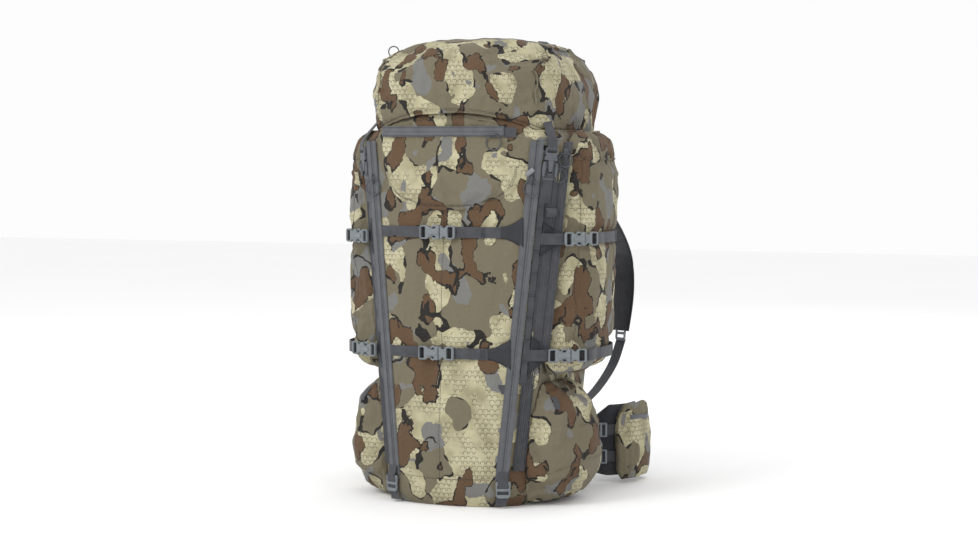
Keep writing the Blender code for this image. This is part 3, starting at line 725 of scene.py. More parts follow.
def rumpled(data, depth, size, stretch=(1, 1, 1), seed=0.0, keep=None):
    """Adds soft folds: noise pushed along the normals, held back where keep(point) is 0."""
    scale = Vector(stretch) / size

    def change(point, normal):
        at = Vector((point.x * scale.x + seed, point.y * scale.y, point.z * scale.z))
        folds = noise.noise(at) + 0.5 * noise.noise(at * 2.3 + Vector((5, 9, seed)))
        return normal * folds * depth * (keep(point) if keep else 1.0)
    shape_vertices(data, change)


# ---------------------------------------------------------------- stuffed cloth
STUFFED = []
CLOTH_FRAMES = 18
CLOTH_GROWTH = -0.05          # a negative shrink, so that the cloth has some slack to swell into


def stuffed(name, rings, held, cap=0.008, pressure=3.0, voxel=0.005):
    """Queues a closed cloth form for filling. Places where held(point) is true stay sewn."""
    build = Build()
    build.rows(rings, ring=True, caps=True)
    start = bpy.data.objects.new(name + "_form", build.mesh())
    bpy.context.scene.collection.objects.link(start)
    mesher = start.modifiers.new("mesher", "REMESH")
    mesher.mode, mesher.voxel_size, mesher.use_smooth_shade = "VOXEL", voxel, True
    graph = bpy.context.evaluated_depsgraph_get()
    data = bpy.data.meshes.new_from_object(start.evaluated_get(graph), depsgraph=graph)
    bpy.data.objects.remove(start)
    form = bpy.data.objects.new(name + "_cloth", data)
    bpy.context.scene.collection.objects.link(form)
    pins = form.vertex_groups.new(name="sewn")
    pins.add([v.index for v in data.vertices if held(v.co)], 1.0, "REPLACE")
    cloth = form.modifiers.new("cloth", "CLOTH")
    cloth.settings.quality = 4
    cloth.settings.mass = 0.25
    cloth.settings.tension_stiffness = cloth.settings.compression_stiffness = 18
    cloth.settings.shear_stiffness = 8
    cloth.settings.bending_stiffness = 0.6
    cloth.settings.use_pressure = True
    cloth.settings.uniform_pressure_force = pressure
    cloth.settings.shrink_min = CLOTH_GROWTH
    cloth.settings.effector_weights.gravity = 0.0
    cloth.settings.vertex_group_mass = "sewn"
    cloth.collision_settings.use_collision = False
    cloth.point_cache.frame_start, cloth.point_cache.frame_end = 1, CLOTH_FRAMES
    STUFFED.append((name, form, cap))


def filled():
    """Runs the queued cloth together and returns each piece's finished mesh by name."""
    scene = bpy.context.scene
    for step in range(1, CLOTH_FRAMES + 1):
        scene.frame_set(step)
    graph = bpy.context.evaluated_depsgraph_get()
    done = {}
    for name, form, cap in STUFFED:
        rest = np.array([v.co for v in form.data.vertices], float)
        data = bpy.data.meshes.new_from_object(form.evaluated_get(graph), depsgraph=graph)
        moved = np.array([v.co for v in data.vertices], float)
        step = moved - rest
        size = np.linalg.norm(step, axis=1)[:, None]
        moved = rest + step * np.minimum(1.0, cap / np.maximum(size, 1e-9))
        data.vertices.foreach_set("co", moved.ravel())
        data.update()
        done[name] = data
    for _, form, _ in STUFFED:
        bpy.data.objects.remove(form)
    scene.frame_set(1)
    return done


# ---------------------------------------------------------------- the bag's walls
FRONT_STEPS, CORNER_STEPS, SIDE_STEPS, REAR_STEPS, WALL_LEVELS = 26, 8, 22, 14, 72
CENTRE_SEAM_X = -0.012
BASE_SEAM_Z = 0.047


def wall_column(kind, share, z):
    """Plan place of one column of the right half of the bag's wall."""
    half, y, wall = zip_half(z), front_y(z), wall_x(z)
    if kind == "front":
        return half * share, front_face(half * share, z)
    if kind == "corner":
        return half + CORNER * share, y + CORNER * share
    if kind == "side":
        return wall, lerp(y + CORNER, BACK_Y - 0.004, share)
    return wall * (1 - share) - 0.008 * (share == 0), REAR_Y


def wall_swell(x, y, z):
    """How far the stuffed wall stands out of its flat shape."""
    if y > front_y(z) + 0.002:
        return 0.0
    share = abs(x) / zip_half(z)
    middle = 1 - share ** 4
    straps = 1 - sum(math.exp(-((z - at) / 0.030) ** 2) for _, at, _, _ in FRONT_STRAPS)
    seam = 1 - 0.5 * math.exp(-((x - CENTRE_SEAM_X) / 0.010) ** 2)
    foot = lerp(0.0, 1.0, (z - 0.01) / 0.04)
    return 0.0055 * middle * max(0.0, straps) * seam * foot


def make_bag():
    """The main compartment: one wall round the bag, its base and its open rim."""
    columns = [("front", i / FRONT_STEPS) for i in range(FRONT_STEPS)]
    columns += [("corner", i / CORNER_STEPS) for i in range(CORNER_STEPS)]
    columns += [("side", i / SIDE_STEPS) for i in range(SIDE_STEPS + 1)]
    columns += [("rear", i / REAR_STEPS) for i in range(REAR_STEPS)]
    columns = [(k, s, 1) for k, s in columns] + [("rear", 1.0, 1)]
    columns += [(k, s, -1) for k, s, _ in reversed(columns[1:-1])]
    rows = []
    for level in range(WALL_LEVELS + 1):
        row = []
        for kind, share, side in columns:
            arch = FRONT_ARCH * (1 - share ** 2) if kind == "front" else 0.0
            z = (BODY_TOP + arch) * level / WALL_LEVELS
            x, y = wall_column(kind, share, z)
            inset = lerp(0.010, 0.0, z / 0.020) if z < 0.02 else 0.0
            x, y = x * (1 - inset / 0.14), -0.045 + (y + 0.045) * (1 - inset / 0.16)
            if kind in ("front", "corner"):
                y -= wall_swell(x, y, z)
            row.append(Vector((x * side, y, z)))
        rows.append(row)
    foot = [[Vector((p.x * s, -0.045 + (p.y + 0.045) * s, 0.0006)) for p in rows[0]]
            for s in (0.25, 0.6, 0.9)]
    build = Build()
    build.rows(foot + rows, ring=True)
    build.faces.append(tuple(reversed(range(len(rows[0])))))
    data = build.mesh()
    seam = [Vector((CENTRE_SEAM_X, front_face(CENTRE_SEAM_X, z) - 0.004, z))
            for z in np.arange(0.05, 0.535, 0.004)]
    base_seam = [Vector((x, front_face(x, BASE_SEAM_Z), BASE_SEAM_Z + 0.006 * (x / 0.1) ** 2))
                 for x in np.arange(-0.10, 0.101, 0.003)]
    rumpled(data, 0.0050, 0.046, (1.5, 1.0, 0.50), 3.0,
            lambda p: 0.0 if p.z < 0.004 or p.y > 0.1 or near(abs(p.x), zip_half(p.z), reach=0.018)
            else lerp(0.3, 1.0, p.z / 0.1))
    creased(data, [seam, base_seam], 0.0022, 0.0045)
    bag = piece("bag_body", data, "camo", stands_for=(
        "front_panel", "left_side_panel", "right_side_panel", "base_panel", "rear_panel"))
    lining, rear = FINISHES["lining"][0], FINISHES["ribbed"][0]
    data.materials.append(rear)
    data.materials.append(lining)
    for face in data.polygons:
        if face.center.y > 0.108 and face.center.z > 0.03:
            face.material_index = 1
    walled(bag, 0.0022).material_offset = 2
    tree = surface_of(data)
    sew_lines = Build()
    for line, aside in ((seam, Vector((0.0032, 0, 0))), (base_seam, Vector((0, 0, 0.0032)))):
        places, normals = drawn_on(tree, [p + aside for p in line], 0.0003)
        sew_lines.stitches(places, normals)
    piece("bag_stitching", sew_lines, "thread")
    make_collar(rows[-1])


def make_collar(rim):
    """The thin cloth collar that stands up out of the bag's rim, under the lid."""
    collar = Build()
    rows = []
    for share in np.linspace(0, 1, 9):
        row = []
        for i, p in enumerate(rim):
            inward = Vector((-p.x, -0.030 - p.y, 0)).normalized()
            wave = 0.0016 * share * math.sin(i * 0.9) + 0.0010 * share * math.sin(i * 2.3)
            row.append(p + inward * (0.001 + 0.013 * share ** 1.3 + wave)
                       + Vector((0, 0, 0.018 * share)))
        rows.append(row)
    collar.rows(rows, ring=True)
    made = piece("bag_collar", collar, "camo")
    walled(made, 0.0010)
    cord = Build()
    cord.tube(rows[-1], 0.0016, 6, endless=True)
    piece("bag_collar_hem", cord, "camo")


def make_frame_sheet():
    """The stiff sheet inside the back keeps its CAD shape."""
    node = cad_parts["frame_sheet"]
    node.data.materials.clear()
    node.data.materials.append(FINISHES["sheet"][0])


# ---------------------------------------------------------------- zips and corner bands
def make_front_zips():
    """Each long front zip: two tapes either side of a black strip of painted shade under the coil,
    with a bead on each edge.
    """
    for name, side in SIDES:
        tapes, shade_strip = Build(), Build()
        heights = np.arange(0.050, 0.664, 0.006)
        turn = math.radians(18)
        across = Vector((math.cos(turn) * side, math.sin(turn), 0))
        outward = Vector((math.sin(turn) * side, -math.cos(turn), 0))
        centre = [Vector((zip_half(z) * side, front_y(z), z)) + outward * 0.0022 for z in heights]
        for edge in (-1, 1):
            tapes.strip([p + across * edge * 0.0066 for p in centre], across * side, 0.0108, 0.0012)
            tapes.tube([p + across * edge * 0.0023 + outward * 0.0008 for p in centre], 0.0013, 6)
            tapes.stitches([p + across * edge * 0.0105 + outward * 0.0008 for p in centre], outward)
        # A black strip behind the coil: painted shade in the slot between the tapes.
        shade_strip.strip([p - outward * 0.0006 for p in centre], across * side, 0.006, 0.0010)
        piece(f"{name}_front_zip_tapes", tapes, "zip_tape")
        piece(f"{name}_front_zip_shade_strip", shade_strip, "black_plastic")
        coil = Build()
        for z in np.arange(0.052, 0.660, 0.0021):
            spot = Vector((zip_half(z) * side, front_y(z), z)) + outward * 0.0032
            ends = [spot - across * 0.0024, spot, spot + across * 0.0024]
            coil.tube(ends, [0.0004, 0.0006, 0.0004], sides=4)
        piece(f"{name}_front_zip_coil", coil, "dark_plastic")


def band_edges(z, side):
    """Inner and outer edge of the corner band, measured from the front zip.

    The right band is wide above the lower pocket; the left one turns out of the way.
    """
    share = lerp(0.0, 1.0, (z - 0.246) / 0.03) if side > 0 else 0.0
    return lerp(0.019, 0.027, share), lerp(0.042, 0.068, share)


def make_corner_bands():
    """The side zips and their ridged cover, down both slanted corners."""
    heights = list(np.arange(0.066, 0.662, 0.006))
    for name, side in SIDES:
        bands, trim = Build(), Build()
        ridges = 36
        rows, prints = [], []
        for z in heights:
            inner, outer = band_edges(z, side)
            tuck = 0.010 * max(0.0, (z - 0.635) / 0.027)
            row, spots = [], []
            for i in range(ridges + 1):
                s = lerp(inner, outer, i / ridges)
                lift = 0.0030 + 0.0010 * math.cos(2 * math.pi * 6 * i / ridges)
                lift *= 0.35 + 0.65 * min(1.0, 6 * i / ridges, 6 * (1 - i / ridges))
                row.append(corner_point(z, s, lift - tuck))
                spots.append((s, z))
            rows.append(mirrored(row, side))
            prints.append(spots)
        bands.rows(rows, prints)
        piece(f"{name}_side_zip_band", bands, "tape")
        for share in (0.01, 0.5, 0.99):
            line = []
            for z in heights[:-4]:
                inner, outer = band_edges(z, side)
                line.append(corner_point(z, lerp(inner, outer, share), 0.0028))
            trim.tube(mirrored(line, side), 0.0010, 6)
        piece(f"{name}_side_zip_trim", trim, "webbing")
        loops = Build()
        chain_low, link = 0.224, 0.040
        for low in np.arange(chain_low, 0.590, link):
            arch = [corner_point(low + link * t, 0.0185, 0.0032 + 0.0026 * math.sin(math.pi * t))
                    for t in np.linspace(0, 1, 9)]
            loops.strip(mirrored(arch, side), Vector((side, 0.9, 0)), 0.0125, 0.0014)
            bar = [corner_point(low, s, 0.0050) for s in (0.0130, 0.0185, 0.0240)]
            loops.tube(mirrored(bar, side), 0.0010, 6)
        piece(f"{name}_daisy_chain", loops, "webbing")
        piping = Build()
        line = [corner_point(z, 0.0125, 0.0016) for z in heights[:-2]]
        piping.tube(mirrored(line, side), 0.0016, 6)
        piece(f"{name}_corner_piping", piping, "camo")


# ---------------------------------------------------------------- stuffed pockets and lid
def drawn_in(line, middle, distance):
    """A plan line moved towards a middle point."""
    moved = []
    for x, y in line:
        toward = Vector((middle[0] - x, middle[1] - y))
        step = toward.normalized() * min(distance, toward.length * 0.5)
        moved.append((x + step.x, y + step.y))
    return moved


def near(value, *places, reach=0.011):
    """True when the value is within reach of one of the places."""
    return any(abs(value - at) < reach for at in places)


def wall_ring(plan, z, side):
    """A pocket's ring at height z: its outer plan line, closed along the bag's side wall."""
    inner = wall_x(z) + SEAM_GAP
    ring = [(x, y, z) for x, y in plan]
    ring += [(inner, lerp(plan[-1][1], plan[0][1], i / 8), z) for i in range(1, 8)]
    return mirrored(ring, side)


def queue_side_pockets():
    """The long pockets, drawn in where their two straps cross them."""
    levels = ((0.238, 0.40, 0.80), (0.248, 0.72, 0.91), (0.262, 0.93, 0.975),
              (0.290, 0.98, 0.99), (0.340, 1, 1), (0.400, 1, 1), (0.460, 1, 1), (0.520, 1, 1),
              (0.600, 1.0, 1.0), (0.638, 0.92, 0.97), (0.664, 0.74, 0.88), (0.678, 0.42, 0.70))
    for name, side in SIDES:
        rings = []
        for z, depth, length in levels:
            plan = drawn_in(pocket_line(z, depth, length), (wall_x(z), -0.03), 0.004)
            rings.append(wall_ring(plan, z, side))

        def held(p, side=side):
            return (abs(p.x) < wall_x(p.z) + 0.006 or near(p.z, *SIDE_STRAP_HEIGHTS)
                    or near(p.z, 0.625, reach=0.003))
        stuffed(f"{name}_side_pocket", rings, held, cap=0.0075, pressure=3.5)


def queue_lower_pockets():
    """The round pockets low on each side, gathered at the top."""
    levels = ((0.006, 0.052, 0.72), (0.022, 0.080, 0.90), (0.055, 0.095, 1.0),
              (0.095, 0.099, 1.0), (0.140, 0.092, 0.98), (0.180, 0.066, 0.92),
              (0.208, 0.036, 0.80), (0.221, 0.018, 0.66))
    for name, side in SIDES:
        rings = []
        for z, reach, length in levels:
            plan = drawn_in(lower_pocket_line(z, reach, length), (wall_x(z), -0.07), 0.005)
            share = lerp(0.0, 1.0, (z - 0.01) / 0.03) * lerp(1.0, 0.0, (z - 0.150) / 0.05)
            edge = corner_point(z, 0.0509 - 0.010 * share, 0.0012 * share)
            plan[0] = (edge.x, edge.y)
            rings.append(wall_ring(plan, z, side))

        def held(p):
            return abs(p.x) < wall_x(p.z) + 0.001 or p.z < 0.010 or p.z > 0.216
        stuffed(f"{name}_lower_pocket", rings, held, cap=0.009, pressure=3.5)


def queue_front_pocket():
    """The flat pocket high on the front, with its rounded lower edge."""
    rings = []
    for z in (POCKET_LOW, 0.539, 0.546, 0.556, 0.570, 0.594, POCKET_WIDEST, 0.645, 0.682):
        drop = max(0.0, (POCKET_WIDEST - z) / (POCKET_WIDEST - POCKET_LOW))
        reach = POCKET_HALF * max(0.35, (1 - drop ** 2.4) ** (1 / 2.4))
        columns = [reach * (i / 12 - 1) for i in range(25)]
        depth = pocket_depth(z)
        back = [(x, front_face(x, z) + 0.002, z) for x in columns]
        front = [(x, front_face(x, z) - 0.0025 - depth * (1 - 0.8 * (x / reach) ** 4), z)
                 for x in reversed(columns)]
        rings.append(back + front)

    def held(p):
        edge = (abs(p.x) / POCKET_HALF) ** 2.4 + max(0.0, (POCKET_WIDEST - p.z) / 0.083) ** 2.4
        return p.y > front_face(p.x, p.z) - 0.002 or edge > 0.88 or p.z > 0.668
    stuffed("front_pocket", rings, held, cap=0.006, pressure=2.5, voxel=0.004)


def queue_lid():
    """The domed top pocket."""
    levels = ((LID_HEM, 0.945, 1.0), (0.685, 0.965, 0.7), (0.705, 0.975, 0.4),
              (0.745, 0.985, 0.0), (0.785, 0.960, 0.0), (0.810, 0.89, 0.0), (0.827, 0.76, 0.0),
              (0.838, 0.52, 0.0), (0.843, 0.26, 0.0), (0.844, 0.04, 0.0))
    rings = [[p + Vector((0, 0, 0.032)) for p in lid_ring(LID_HEM, 0.10)]]
    rings.append([p + Vector((0, 0, 0.024)) for p in lid_ring(LID_HEM, 0.84, HEM_ARCH)])
    rings.append([p + Vector((0, 0, 0.002)) for p in lid_ring(LID_HEM, 0.915, HEM_ARCH,
                                                              drop=HEM_DROP)])
    rings += [lid_ring(z, share, HEM_ARCH * part, drop=HEM_DROP * part)
              for z, share, part in levels]

    def held(p):
        arch = HEM_ARCH * (1 - (p.x / LID_HALF[0]) ** 2) if p.y < LID_CENTRE_Y else 0.0
        return (p.z < LID_HEM + arch + 0.010
                or near(abs(p.x), 0.168, reach=0.0035) and p.z > 0.69 or p.y > 0.124)
    stuffed("lid", rings, held, cap=0.0085, pressure=3.0)


def queue_pads():
    """The pads that lie against the wearer's back, with channels for air between them."""
    for name, half, low, high, depth in PADS:
        rings = []
        for z, share in ((low, 0.88), (low + 0.010, 0.98), (high - 0.010, 0.98), (high, 0.88)):
            w, d = half * share, depth * share * 0.86
            face = REAR_Y + SEAM_GAP
            profile = [(-w, face), (-w * 0.5, face), (0, face), (w * 0.5, face), (w, face),
                       (w, face + d * 0.5), (w * 0.85, face + d), (w * 0.4, face + d),
                       (0, face + d), (-w * 0.4, face + d), (-w * 0.85, face + d),
                       (-w, face + d * 0.5)]
            rings.append([(x, y, z) for x, y in profile])

        def held(p, half=half):
            return p.y < REAR_Y + 0.004 or near(abs(p.x), half * PAD_SEAM, reach=0.004)
        stuffed(name, rings, held, cap=0.005, pressure=3.0)


def hip_line():
    """Plan line of the right hip wing."""
    return curve_through(((0.107, 0.136, 0), (0.150, 0.138, 0), (0.186, 0.149, 0),
                          (0.208, 0.171, 0), (0.217, 0.205, 0), (0.215, 0.247, 0),
                          (0.200, 0.290, 0)), 3)


def queue_pouches():
    """The pouch on each hip wing."""
    plan = [(p.x, p.y) for p in hip_line()]
    inner = moved_out(plan, 0.0085)[7:17]
    for name, side in SIDES:
        rings = []
        for z, depth, share in ((0.006, 0.008, 0.66), (0.013, 0.016, 0.82), (0.032, 0.020, 0.94),
                                (0.065, 0.022, 0.98), (0.105, 0.021, 0.98), (0.132, 0.018, 0.90),
                                (0.148, 0.013, 0.74), (0.154, 0.007, 0.56)):
            count = len(inner) - 1
            outer = []
            for i, ((x, y), (ox, oy)) in enumerate(zip(inner, moved_out(inner, depth))):
                swell = math.sin(math.pi * (0.08 + 0.84 * i / count)) ** 0.4
                outer.append((x + (ox - x) * swell, y + (oy - y) * swell))
            cut = (1 - share) / 2 * count
            spots = [cut + (count - 2 * cut) * i / count for i in range(count + 1)]
            loop = []
            for line, order in ((inner, spots), (outer, spots[::-1])):
                for spot in order:
                    index = min(count - 1, int(spot))
                    loop.append(Vector(line[index]).lerp(Vector(line[index + 1]), spot - index))
            rings.append(mirrored([(p.x, p.y, z) for p in loop], side))

        def held(p):
            return near(p.z, POUCH_ZIP_Z, reach=0.003) or p.z < 0.009
        stuffed(f"{name}_hip_pouch", rings, held, cap=0.004, pressure=3.0, voxel=0.004)


def finish_side_pockets(done):
    """Seams, binding and straps' marks on the long side pockets."""
    for name, side in SIDES:
        data = done[f"{name}_side_pocket"]
        rumpled(data, 0.0022, 0.030, (1, 1, 0.6), 11.0 * side,
                lambda p: 0.3 if near(p.z, *SIDE_STRAP_HEIGHTS, reach=0.016) else 1.0)
        seam_plans = []
        for share in (0.16, 0.60):
            line = []
            for z in np.arange(0.262, 0.650, 0.004):
                plan = pocket_line(z)
                x, y = plan[round(share * (len(plan) - 1))]
                line.append(Vector((x * side, y, z)))
            seam_plans.append(line)
        top = [Vector((x * side, y, 0.628)) for x, y in pocket_line(0.628, 0.97, 0.985)]
        seam_plans.append(top[2:-2])
        creased(data, seam_plans, 0.0020, 0.0045)
        print_on(data)
        piece(f"{name}_side_pocket_bag", data, "camo", levels=1, sharp=70,
              stands_for=(f"{name}_side_pocket",))
        tree = surface_of(data)
        sewing, trim = Build(), Build()
        for line in seam_plans:
            places, normals = drawn_on(tree, [p + Vector((0, 0.003, 0)) for p in line], 0.0003)
            sewing.stitches(places, normals)
        places, _ = drawn_on(tree, top, 0.0008)
        trim.tube(places, 0.0016, 6)
        piece(f"{name}_side_pocket_stitching", sewing, "thread")
        piece(f"{name}_side_pocket_piping", trim, "camo")


def finish_lower_pockets(done):
    """Gathers and seams of the round lower pockets."""
    for name, side in SIDES:
        data = done[f"{name}_lower_pocket"]
        rumpled(data, 0.0024, 0.034, (1, 1, 1), 5.0 * side)
        top = Vector((0.150 * side, -0.070, 0.225))

        def gather(point, normal, top=top):
            away = point - top
            pull = max(0.0, 1 - away.length / 0.11)
            turn = math.atan2(away.y, -away.z * 0.6)
            return normal * 0.0030 * pull * math.sin(turn * 15)
        shape_vertices(data, gather)
        seam = [Vector((x * side, y, 0.052 + 0.030 * math.sin(math.pi * i / 24)))
                for i, (x, y) in enumerate(lower_pocket_line(0.06, 0.095, 1.0))]
        creased(data, [seam], 0.0020, 0.0045)
        print_on(data)
        piece(f"{name}_lower_pocket_bag", data, "camo", levels=1, sharp=70,
              stands_for=(f"{name}_lower_pocket",))
        tree = surface_of(data)
        trim = Build()
        places, normals = drawn_on(tree, [p + Vector((0, 0, 0.003)) for p in seam], 0.0003)
        trim.stitches(places, normals)
        piece(f"{name}_lower_pocket_stitching", trim, "thread")
        loop = Build()
        start = Vector((0.190 * side, -0.150, 0.208))
        places, normals = drawn_on(tree, [start + Vector((0.006 * side * t, -0.004 * t, -0.020 * t))
                                          for t in np.linspace(0, 1.4, 8)], 0.0016)
        loop.strip(places, normals[0].cross(UP), 0.011, 0.0014)
        piece(f"{name}_lower_pocket_tab", loop, "webbing")


def finish_front_pocket(done):
    """The front pocket, its zip flap and the tab at the flap's end."""
    data = done["front_pocket"]
    rumpled(data, 0.0014, 0.030, (1, 1, 1), 2.0)
    edge = []
    for turn in np.linspace(-0.02, math.pi + 0.02, 60):
        x = 0.131 * math.copysign(abs(math.cos(turn)) ** 0.83, math.cos(turn))
        z = POCKET_WIDEST - 0.075 * abs(math.sin(turn)) ** 0.83
        edge.append(Vector((x, front_face(x, z) - 0.012, z)))
    creased(data, [edge], 0.0016, 0.0035)
    print_on(data)
    piece("front_pocket_bag", data, "camo", levels=1, sharp=70, stands_for=("front_pocket",))
    tree = surface_of(data)
    sewing = Build()
    for inset in (1.0, 0.972):
        line = [Vector((p.x * inset, p.y, POCKET_WIDEST - (POCKET_WIDEST - p.z) * inset))
                for p in edge]
        places, normals = drawn_on(tree, line, 0.0003)
        sewing.stitches(places, normals)
    piece("front_pocket_stitching", sewing, "thread")
    flap = Build()
    columns = np.arange(-0.136, 0.108, 0.004)
    profile = ((0.0825, 0.0010), (0.0815, 0.0030), (0.0760, 0.0042), (0.0722, 0.0036),
               (0.0715, 0.0026), (0.0708, 0.0036), (0.0665, 0.0042), (0.0640, 0.0036),
               (0.0632, 0.0010))
    rows, prints = [], []
    for x in columns:
        face = front_face(x, POCKET_ZIP_Z)
        rows.append([Vector((x, face - pocket_depth(z + 0.6) - 0.0026 - out * 0.72, z + 0.606))
                     for z, out in profile])
        prints.append([(z, x) for z, _ in profile])
    flap.rows(rows, prints)
    made = piece("front_pocket_zip", flap, "zip_tape")
    walled(made, 0.0012)
    lines = Build()
    for z in (0.6865, 0.6715):
        line = [Vector((x, front_face(x, POCKET_ZIP_Z) - pocket_depth(z) - 0.0062, z))
                for x in columns]
        lines.stitches(line, Vector((0, -1, 0)))
    piece("front_pocket_zip_stitching", lines, "thread")
    garage = Build()
    path = [Vector((x, front_face(x, POCKET_ZIP_Z) - 0.0085, 0.677))
            for x in (0.104, 0.112, 0.120, 0.127)]
    garage.strip(path, (0, 0, 1), 0.018, 0.0018)
    piece("front_pocket_zip_garage", garage, "webbing")


def finish_lid(done):
    """The lid, its side seams, a crease across its front, and its hem."""
    data = done["lid"]

    def above_hem(point):
        return lerp(0.4, 1.0, (point.z - LID_HEM - 0.03) / 0.05)
    rumpled(data, 0.0030, 0.060, (1, 1, 1), 8.0, above_hem)
    rumpled(data, 0.0012, 0.020, (1, 1, 1), 4.0, above_hem)
    hem = lid_ring(LID_HEM + 0.002, 0.955, HEM_ARCH, 160, HEM_DROP)
    seams = []
    for side in (-1, 1):
        over = []
        for turn in np.linspace(0.02, 0.98, 60):
            y = LID_CENTRE_Y - LID_HALF[1] * math.cos(math.pi * turn)
            z = LID_HEM + 0.02 + 0.165 * math.sin(math.pi * turn) ** 0.5
            over.append(Vector(((0.176 - 0.020 * turn) * side, y, z)))
        seams.append(over)
    across = []
    for x in np.arange(-0.146, 0.147, 0.004):
        across.append(Vector((x, LID_CENTRE_Y - 0.150 + 0.02 * (x / 0.146) ** 2, 0.818)))
    across = drawn_on(surface_of(data), across)[0]
    creased(data, seams, 0.0040, 0.0060)
    creased(data, [across], 0.0022, 0.0045)
    print_on(data)
    made = piece("lid_bag", data, "camo", "lid", levels=1, sharp=70, stands_for=("lid",))
    tree = surface_of(data)
    beads, sewing = Build(), Build()
    for line in seams:
        places, normals = drawn_on(tree, line, 0.0008)
        beads.tube(places, 0.0021, 6)
        places, normals = drawn_on(tree, [p - Vector((math.copysign(0.006, p.x), 0, 0))
                                          for p in line], 0.0003)
        sewing.stitches(places, normals)
    piece("lid_piping", beads, "camo", "lid")
    places, normals = drawn_on(tree, [p + Vector((0, 0, 0.006)) for p in hem], 0.0003)
    sewing.stitches(places + places[:1], normals + normals[:1])
    piece("lid_stitching", sewing, "thread", "lid")
    binding = Build()
    places, _ = drawn_on(tree, hem, 0.0004)
    binding.tube(places, 0.0022, 8, endless=True)
    piece("lid_hem_binding", binding, "camo", "lid")
    return tree


def finish_pads(done):
    """The back pads, quilted by two upright seams and rows across."""
    for name, half, low, high, _ in PADS:
        data = done[name]
        lines = [[Vector((half * s, 0.150, z)) for z in np.arange(low, high, 0.004)]
                 for s in (-PAD_SEAM, PAD_SEAM)]
        tree = surface_of(data)
        lines = [drawn_on(tree, line)[0] for line in lines]
        for z in np.arange(low + 0.045, high - 0.03, 0.048):
            row = [Vector((x, 0.150, z)) for x in np.arange(-half, half, 0.004)]
            lines.append(drawn_on(tree, row)[0])
        creased(data, lines, 0.0028, 0.0045)
        print_on(data)
        made = piece(f"{name}_cushion", data, "mesh", levels=1, sharp=70, stands_for=(name,))


def finish_pouches(done):
    """The hip pouches, each with a zip along its upper edge."""
    for name, side in SIDES:
        data = done[f"{name}_hip_pouch"]
        rumpled(data, 0.0010, 0.020, (1, 1, 1), 6.0 * side)
        print_on(data)
        made = piece(f"{name}_hip_pouch_bag", data, "camo", f"{name}_hip", levels=1, sharp=70,
                     stands_for=(f"{name}_hip_pouch",))
        tree = surface_of(data)
        plan = moved_out([(p.x, p.y) for p in hip_line()], 0.034)[9:15]
        line = [Vector((x * side, y, 0.129)) for x, y in plan]
        zip_line = Build()
        places, _ = drawn_on(tree, line, 0.0010)
        zip_line.strip(curve_through(places, 4), UP, 0.009, 0.0012)
        piece(f"{name}_hip_pouch_zip", zip_line, "zip_tape", f"{name}_hip")


# ---------------------------------------------------------------- buckles and straps
def side_release(name, place, clip_body):
    """A side-release buckle: a socket with a narrow middle, and a clip with an open end loop."""
    socket = Build()
    outline = rounded(both_ways([(-0.035, 0.0090), (-0.033, 0.0125), (-0.0210, 0.0130),
                                 (-0.0140, 0.0084), (-0.0080, 0.0060), (-0.0035, 0.0066),
                                 (0.0005, 0.0128), (0.005, 0.0128)]), 0.0026)
    slot = rounded(box_outline(-0.0318, -0.0232, 0.0096), 0.0022)
    socket.plate([outline, slot], 0.0100, 0.0022, place, waist=0.30)
    ridge = rounded(box_outline(-0.0175, 0.0030, 0.0036), 0.0020)
    socket.plate([ridge], 0.0024, 0.0010, raised(place, 0.0090))
    piece(f"{name}_socket_body", socket, "plastic",
          stands_for=(f"{name}_buckle_socket",))
    clip = Build()
    outline = rounded(both_ways([(0.0058, 0.0122), (0.0085, 0.0120), (0.0120, 0.0076),
                                 (0.0150, 0.0076), (0.0200, 0.0128), (0.0330, 0.0122),
                                 (0.0350, 0.0085)]), 0.0024)
    loop = rounded(box_outline(0.0215, 0.0308, 0.0095), 0.0022)
    clip.plate([outline, loop], 0.0076, 0.0018, raised(place, 0.0008), waist=0.25)
    for side in (-1, 1):
        prong = [place(0.0060, 0.0080 * side, 0.0055), place(-0.0010, 0.0098 * side, 0.0055),
                 place(-0.0050, 0.0116 * side, 0.0055), place(-0.0080, 0.0112 * side, 0.0055),
                 place(-0.0120, 0.0070 * side, 0.0055)]
        clip.tube(curve_through(prong, 3), 0.0018, 8)
    clip.tube([place(0.006, 0, 0.0055), place(-0.012, 0, 0.0055)], [0.0022, 0.0014], 8)
    piece(f"{name}_clip_body", clip, "plastic", clip_body,
          stands_for=(f"{name}_buckle_clip",))
    for end, a, rider in (("socket", -0.0275, "root"), ("clip", 0.0258, clip_body)):
        bars = Build()
        for step in (-0.0022, 0.0022):
            bars.strip([place(a + step - 0.002, 0, 0.0022), place(a + step, 0, 0.0050),
                        place(a + step + 0.002, 0, 0.0022)],
                       place(0, 1, 0) - place(0, 0, 0), 0.0180, 0.0010)
        piece(f"{name}_{end}_threading", bars, "dark_webbing", rider)


def doubled_strap(build, threads, path, across, width=WEBBING):
    """A second layer of webbing on a strap, with a box of stitches at its far end."""
    build.strip(path, across, width, 0.0013)
    outward = (path[1] - path[0]).cross(Vector(across)).normalized()
    side = Vector(across).normalized()
    direction = (path[-1] - path[-2]).normalized()
    end = path[-1] + outward * 0.0011
    for back in (0.0025, 0.0055):
        middle = end - direction * back
        threads.stitches([middle - side * width * 0.42, middle + side * width * 0.42], outward,
                         pitch=0.0030, length=0.0022, radius=0.00045)


def flared(z_mid, near_s, far_s, near_half, far_half, count=12):
    """Upper edge of a patch that flares out in a curve: rows of (s, high z)."""
    rows = []
    for i in range(count + 1):
        t = i / count
        half = far_half + (near_half - far_half) * (1 - t) ** 1.7
        rows.append((near_s + (far_s - near_s) * t, z_mid + half))
    return rows


